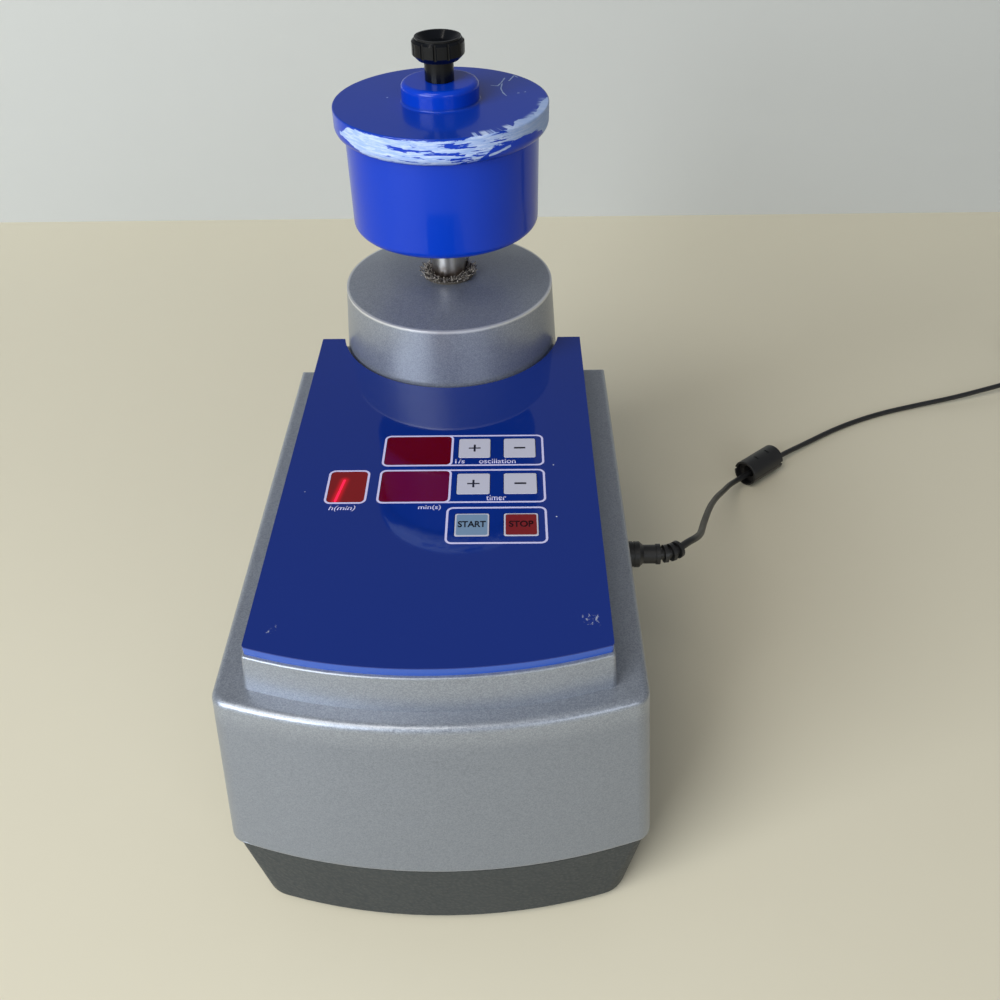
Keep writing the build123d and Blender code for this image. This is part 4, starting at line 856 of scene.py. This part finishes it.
phenolic = black("phenolic", (0.003, 0.0035, 0.005), 0.07, 400.0, 0.08)
phenolic.set("Specular IOR Level", 0.2)
moulded = black("moulded_black", (0.010, 0.010, 0.011), 0.34, 1500.0, 0.22)
sheath = black("lead_sheath", (0.010, 0.010, 0.011), 0.38, 900.0, 0.10)
dress(phenolic, "knob")
dress(moulded, "dc_plug", "ferrite_case", "power_supply", "power_inlet", "lead_tie")
lead.data.materials.append(sheath.material)
print("black plastics done")

# %% [markdown]
# ## Bare metals and the inner works
# The shaft is ground steel, so its highlight is drawn out along it, and grease has browned it near the felt.
# A noise stretched along the tool's path gives such marks, and one function makes every metal from it. The
# works inside the casing are seldom seen, but each still gets the finish that it would have.


# %% Metals
def metal(name, dark, light, rough, stretch=(1, 1, 1), fine=900.0):
    finish = Finish(name, Metallic=1.0)
    spot = finish.place(scale=stretch)
    lines = finish.noise(spot, fine, 3.0, 0.6)
    cloud = finish.noise(finish.place(), 45.0, 4.0)
    finish.set("Base Color", finish.mix(lines * 0.6 + cloud * 0.4, dark, light))
    finish.set("Roughness", rough + lines * 0.12 + cloud * 0.06)
    finish.bump(lines, 0.12, 0.00003)
    return finish


STEEL_DARK, STEEL_LIGHT, GREASE = (0.34, 0.32, 0.295), (0.58, 0.56, 0.53), (0.13, 0.075, 0.045)
DRAWN = (1, 1, 0.03)
ground = metal("ground_steel", STEEL_DARK, STEEL_LIGHT, 0.22, DRAWN, 2600.0)
x, y, z = ground.split(ground.place((0, AXIS_Y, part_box("wiper_felt")[1].z), IN_MM))
stain = ground.ramp(z + ground.noise(ground.place(), 300.0, 4.0) * 9.0, 13.0, 5.0)
steel_colour = ground.mix(ground.noise(ground.place(scale=DRAWN), 2600.0), STEEL_DARK, STEEL_LIGHT)
ground.set("Base Color", ground.mix(stain * 0.8, steel_colour, GREASE))
bright = metal("bright_steel", (0.50, 0.50, 0.50), (0.70, 0.70, 0.70), 0.22)
milled = metal("milled_aluminium", (0.62, 0.63, 0.64), (0.80, 0.81, 0.82), 0.28, (1, 0.1, 1), 1500.0)
nickel = metal("nickel_plate", (0.58, 0.56, 0.50), (0.76, 0.74, 0.68), 0.18)
brass = metal("brass", (0.55, 0.36, 0.12), (0.80, 0.58, 0.24), 0.22)
bronze = metal("bronze", (0.34, 0.19, 0.08), (0.55, 0.33, 0.16), 0.34)
motor_tin = metal("motor_casing", (0.20, 0.20, 0.21), (0.34, 0.34, 0.35), 0.35)
dress(ground, "drive_shaft", "head_stud")
dress(bright, "motor_shaft", "crank_roller")
dress(milled, "chassis_plate", "bearing_column", "yoke", "crank_disc", "motor_bracket")
dress(nickel, "board_screws", "casing_screws", "column_screws", "motor_screws", "inlet_nut", "supply_pins",
      "pot_nut", "knob_clip", "roller_clip", "driver_pillars", "board_standoffs")
dress(brass, "knob_insert")
dress(bronze, "lower_bush", "upper_bush")
dress(motor_tin, "motor_body")
print("metals done")

# %% Boards, switches and the tube insert
board = Finish("circuit_board", IOR=1.5)
spot = board.place()
tracks = board.node("ShaderNodeTexBrick", {"offset": 0.5},
                    {"Vector": spot, "Scale": 320.0, "Mortar Size": 0.06}, "Fac")
board.set("Base Color", board.mix(tracks * 0.7, (0.010, 0.085, 0.030), (0.022, 0.150, 0.055)))
board.set("Roughness", 0.30 + board.noise(spot, 200.0) * 0.2)
board.bump(tracks, 0.2, 0.00003)
dress(board, "control_board", "driver_board")
switch_black = black("switch_black", (0.012, 0.012, 0.012), 0.30, 900.0, 0.1)
dress(switch_black, "key_switches", "led_displays")
core = black("ferrite_core", (0.020, 0.019, 0.018), 0.55, 700.0, 0.4)
dress(core, "ferrite_core")
white = Finish("white_plastic", Specular_IOR_Level=0.4)
spot = white.place()
haze = white.noise(spot, 90.0, 4.0)
white.set("Base Color", white.mix(haze, (0.62, 0.62, 0.60), (0.78, 0.78, 0.76)))
white.set("Roughness", 0.38 + haze * 0.12)
white.bump(white.noise(spot, 700.0), 0.1, 0.00005)
dress(white, "tube_insert", "slide_pads")
print("inner works done")

# %% [markdown]
# ## Felt wiper
# A ring of felt wipes the shaft where it enters the tower. Felt is matted wool: a cloudy, matt surface with
# loose fibres at its edge, greyed by grease and dust. The fibres are many, short and random, so Geometry
# Nodes scatter them: points on a circle, each with a thin bent hair that leans its own way.

# %% Felt
felt = Finish("felt", Specular_IOR_Level=0.15)
spot = felt.place()
wool = felt.noise(spot, 900.0, 5.0, 0.75)
patch = felt.noise(spot, 160.0, 3.0)
felt.set("Base Color", felt.mix(wool * 0.6 + patch * 0.4, (0.022, 0.019, 0.016), (0.150, 0.130, 0.108)))
felt.set("Roughness", 0.85 + wool * 0.1)
felt.bump(wool, 0.9, 0.0006)
dress(felt, "wiper_felt")

hair = Finish("felt_hair", Specular_IOR_Level=0.15, Roughness=0.85)
hair_tone = hair.noise(hair.place(), 700.0, 2.0)
hair.set("Base Color", hair.mix(hair.ramp(hair_tone, 0.4, 0.6), (0.060, 0.050, 0.042), (0.560, 0.500, 0.430)))
print("felt done")

# %% Hairs of the felt
HAIR_RADIUS = 0.075 * MM
HAIR_LENGTH = 2.0 * MM
fibre_recipe = Recipe("felt_fibres")
count = fibre_recipe.ask("Count", "Int")
ring = fibre_recipe.ask("Ring", "Float")
level_at = fibre_recipe.ask("Level", "Vector")
length = fibre_recipe.ask("Length", "Float")


def chance(low, high, seed):
    """A random value for each hair, the same on every run."""
    node = fibre_recipe.tree.nodes.new("FunctionNodeRandomValue")
    node.data_type = "FLOAT"
    places = [s for s in node.inputs if s.enabled and s.name in ("Min", "Max")]
    places[0].default_value = low
    places[1].default_value = high
    [s for s in node.inputs if s.name == "Seed"][0].default_value = seed
    return Value(fibre_recipe.tree, [s for s in node.outputs if s.enabled][0])


around = chance(0.0, tau, 3)
away = ring + chance(-1.0, 1.0, 7) * (ring * 0.16)
spread = fibre_recipe.node("ShaderNodeCombineXYZ", inputs={
    "X": around.math("COSINE") * away, "Y": around.math("SINE") * away, "Z": chance(-0.0002, 0.0001, 11)})
roots = fibre_recipe.node("Points", inputs={"Count": count, "Position": spread})
bend = fibre_recipe.node("CurveQuadraticBezier", inputs={
    "Resolution": 3, "Start": (0, 0, 0), "Middle": (0.0005, 0.0002, 0.0004), "End": (0.0010, 0.0, 0.0003)})
hair_section = fibre_recipe.node("CurvePrimitiveCircle", inputs={"Resolution": 3, "Radius": HAIR_RADIUS})
strand = fibre_recipe.node("CurveToMesh", inputs={
    "Curve": bend, "Profile Curve": hair_section, "Fill Caps": True})
lean = fibre_recipe.node("ShaderNodeCombineXYZ", inputs={
    "X": chance(-0.5, 0.5, 13), "Y": chance(-1.1, 0.15, 17), "Z": around + chance(-1.2, 1.2, 19)})
size = length * chance(0.4, 1.5, 23) * 1000.0
hairs = fibre_recipe.node("InstanceOnPoints", inputs={
    "Points": roots, "Instance": strand, "Rotation": lean,
    "Scale": fibre_recipe.node("ShaderNodeCombineXYZ", inputs={"X": size, "Y": size, "Z": size})})
fibre_recipe.serve(fibre_recipe.node("SetPosition", inputs={"Geometry": hairs, "Offset": level_at}), hair)

felt_low, felt_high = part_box("wiper_felt")
OUTER_RING = (felt_high.x - felt_low.x) / 2 - 0.6 * MM
INNER_RING = 9.9 * MM
for name, amount, radius in (("felt_hairs_outer", 420, OUTER_RING), ("felt_hairs_inner", 260, INNER_RING)):
    made(name, fibre_recipe, "base", "felt", Count=amount, Ring=radius, Length=HAIR_LENGTH,
         Level=(0.0, AXIS_Y, felt_high.z))

# %% [markdown]
# ## Table, wall and light
# The instrument stands on a pale table in front of a pale wall, under soft daylight from a large window on
# the left and above. Three area lamps and a pale world stand in for it. Their level is plain, so that a
# colour renders about as it is written. Table and wall show only their fronts, so a camera behind the wall
# looks through it.


# %% Table and wall
def plain_backdrop(name, corners, colour, rough):
    finish = Finish(name + "_finish", Roughness=rough)
    cloud = finish.noise(finish.place(), 2.2, 4.0)
    fine = finish.noise(finish.place(), 40.0, 4.0, 0.6)
    finish.set("Base Color", finish.mix(cloud * 0.5 + fine * 0.2, colour, tuple(0.93 * c for c in colour)))
    paint = Value(finish.tree, finish.shader.outputs[0])
    behind = finish.node("ShaderNodeNewGeometry", out="Backfacing")
    clear = finish.node("ShaderNodeBsdfTransparent")
    surface = finish.node("ShaderNodeMixShader", inputs={0: behind, 1: paint, 2: clear})
    finish.tree.links.new(surface.socket, finish.tree.nodes["Material Output"].inputs["Surface"])
    mesh = bpy.data.meshes.new(name)
    mesh.from_pydata(corners, [], [(0, 1, 2, 3)])
    mesh.materials.append(finish.material)
    piece = bpy.data.objects.new(name, mesh)
    bpy.context.scene.collection.objects.link(piece)
    return piece


WALL_Y = 0.577
WALL_TOP = 0.30
FAR = 3.0
plain_backdrop("table", [(-FAR, -FAR, 0), (FAR, -FAR, 0), (FAR, FAR, 0), (-FAR, FAR, 0)],
               seen(221, 214, 192), 0.5)
plain_backdrop("wall", [(-FAR, WALL_Y, 0), (FAR, WALL_Y, 0),
                        (FAR, WALL_Y, WALL_TOP), (-FAR, WALL_Y, WALL_TOP)], seen(196, 198, 196), 0.6)
print("backdrop at y", WALL_Y)


# %% Lamps and world
def softbox(name, place, target, size, power, colour):
    data = bpy.data.lights.new(name, "AREA")
    data.shape = "RECTANGLE"
    data.size = size[0]
    data.size_y = size[1]
    data.energy = power
    data.color = colour
    lamp = bpy.data.objects.new(name, data)
    bpy.context.scene.collection.objects.link(lamp)
    lamp.location = place
    lamp.rotation_euler = (Vector(target) - Vector(place)).to_track_quat("-Z", "Y").to_euler()
    return lamp


softbox("window_light", (-1.35, -1.45, 1.05), (-0.1, -0.1, 0.0), (1.5, 1.0), 46.0, (0.88, 0.94, 1.0))
softbox("ceiling_light", (-0.6, -0.9, 1.9), (0.25, -0.1, 0.0), (1.2, 0.8), 15.0, (1.0, 0.95, 0.86))
softbox("room_light", (0.9, -1.7, 0.8), (0, 0, 0.12), (1.0, 0.8), 6.0, (0.92, 0.96, 1.0))

world = bpy.data.worlds.new("room")
bpy.context.scene.world = world
world.use_nodes = True
background = world.node_tree.nodes["Background"]
background.inputs["Color"].default_value = (0.80, 0.82, 0.84, 1)
background.inputs["Strength"].default_value = 0.27
bpy.context.scene.view_settings.view_transform = "Standard"

# %% [markdown]
# ## Last step
# The view layer is brought up to date.

bpy.context.view_layer.update()
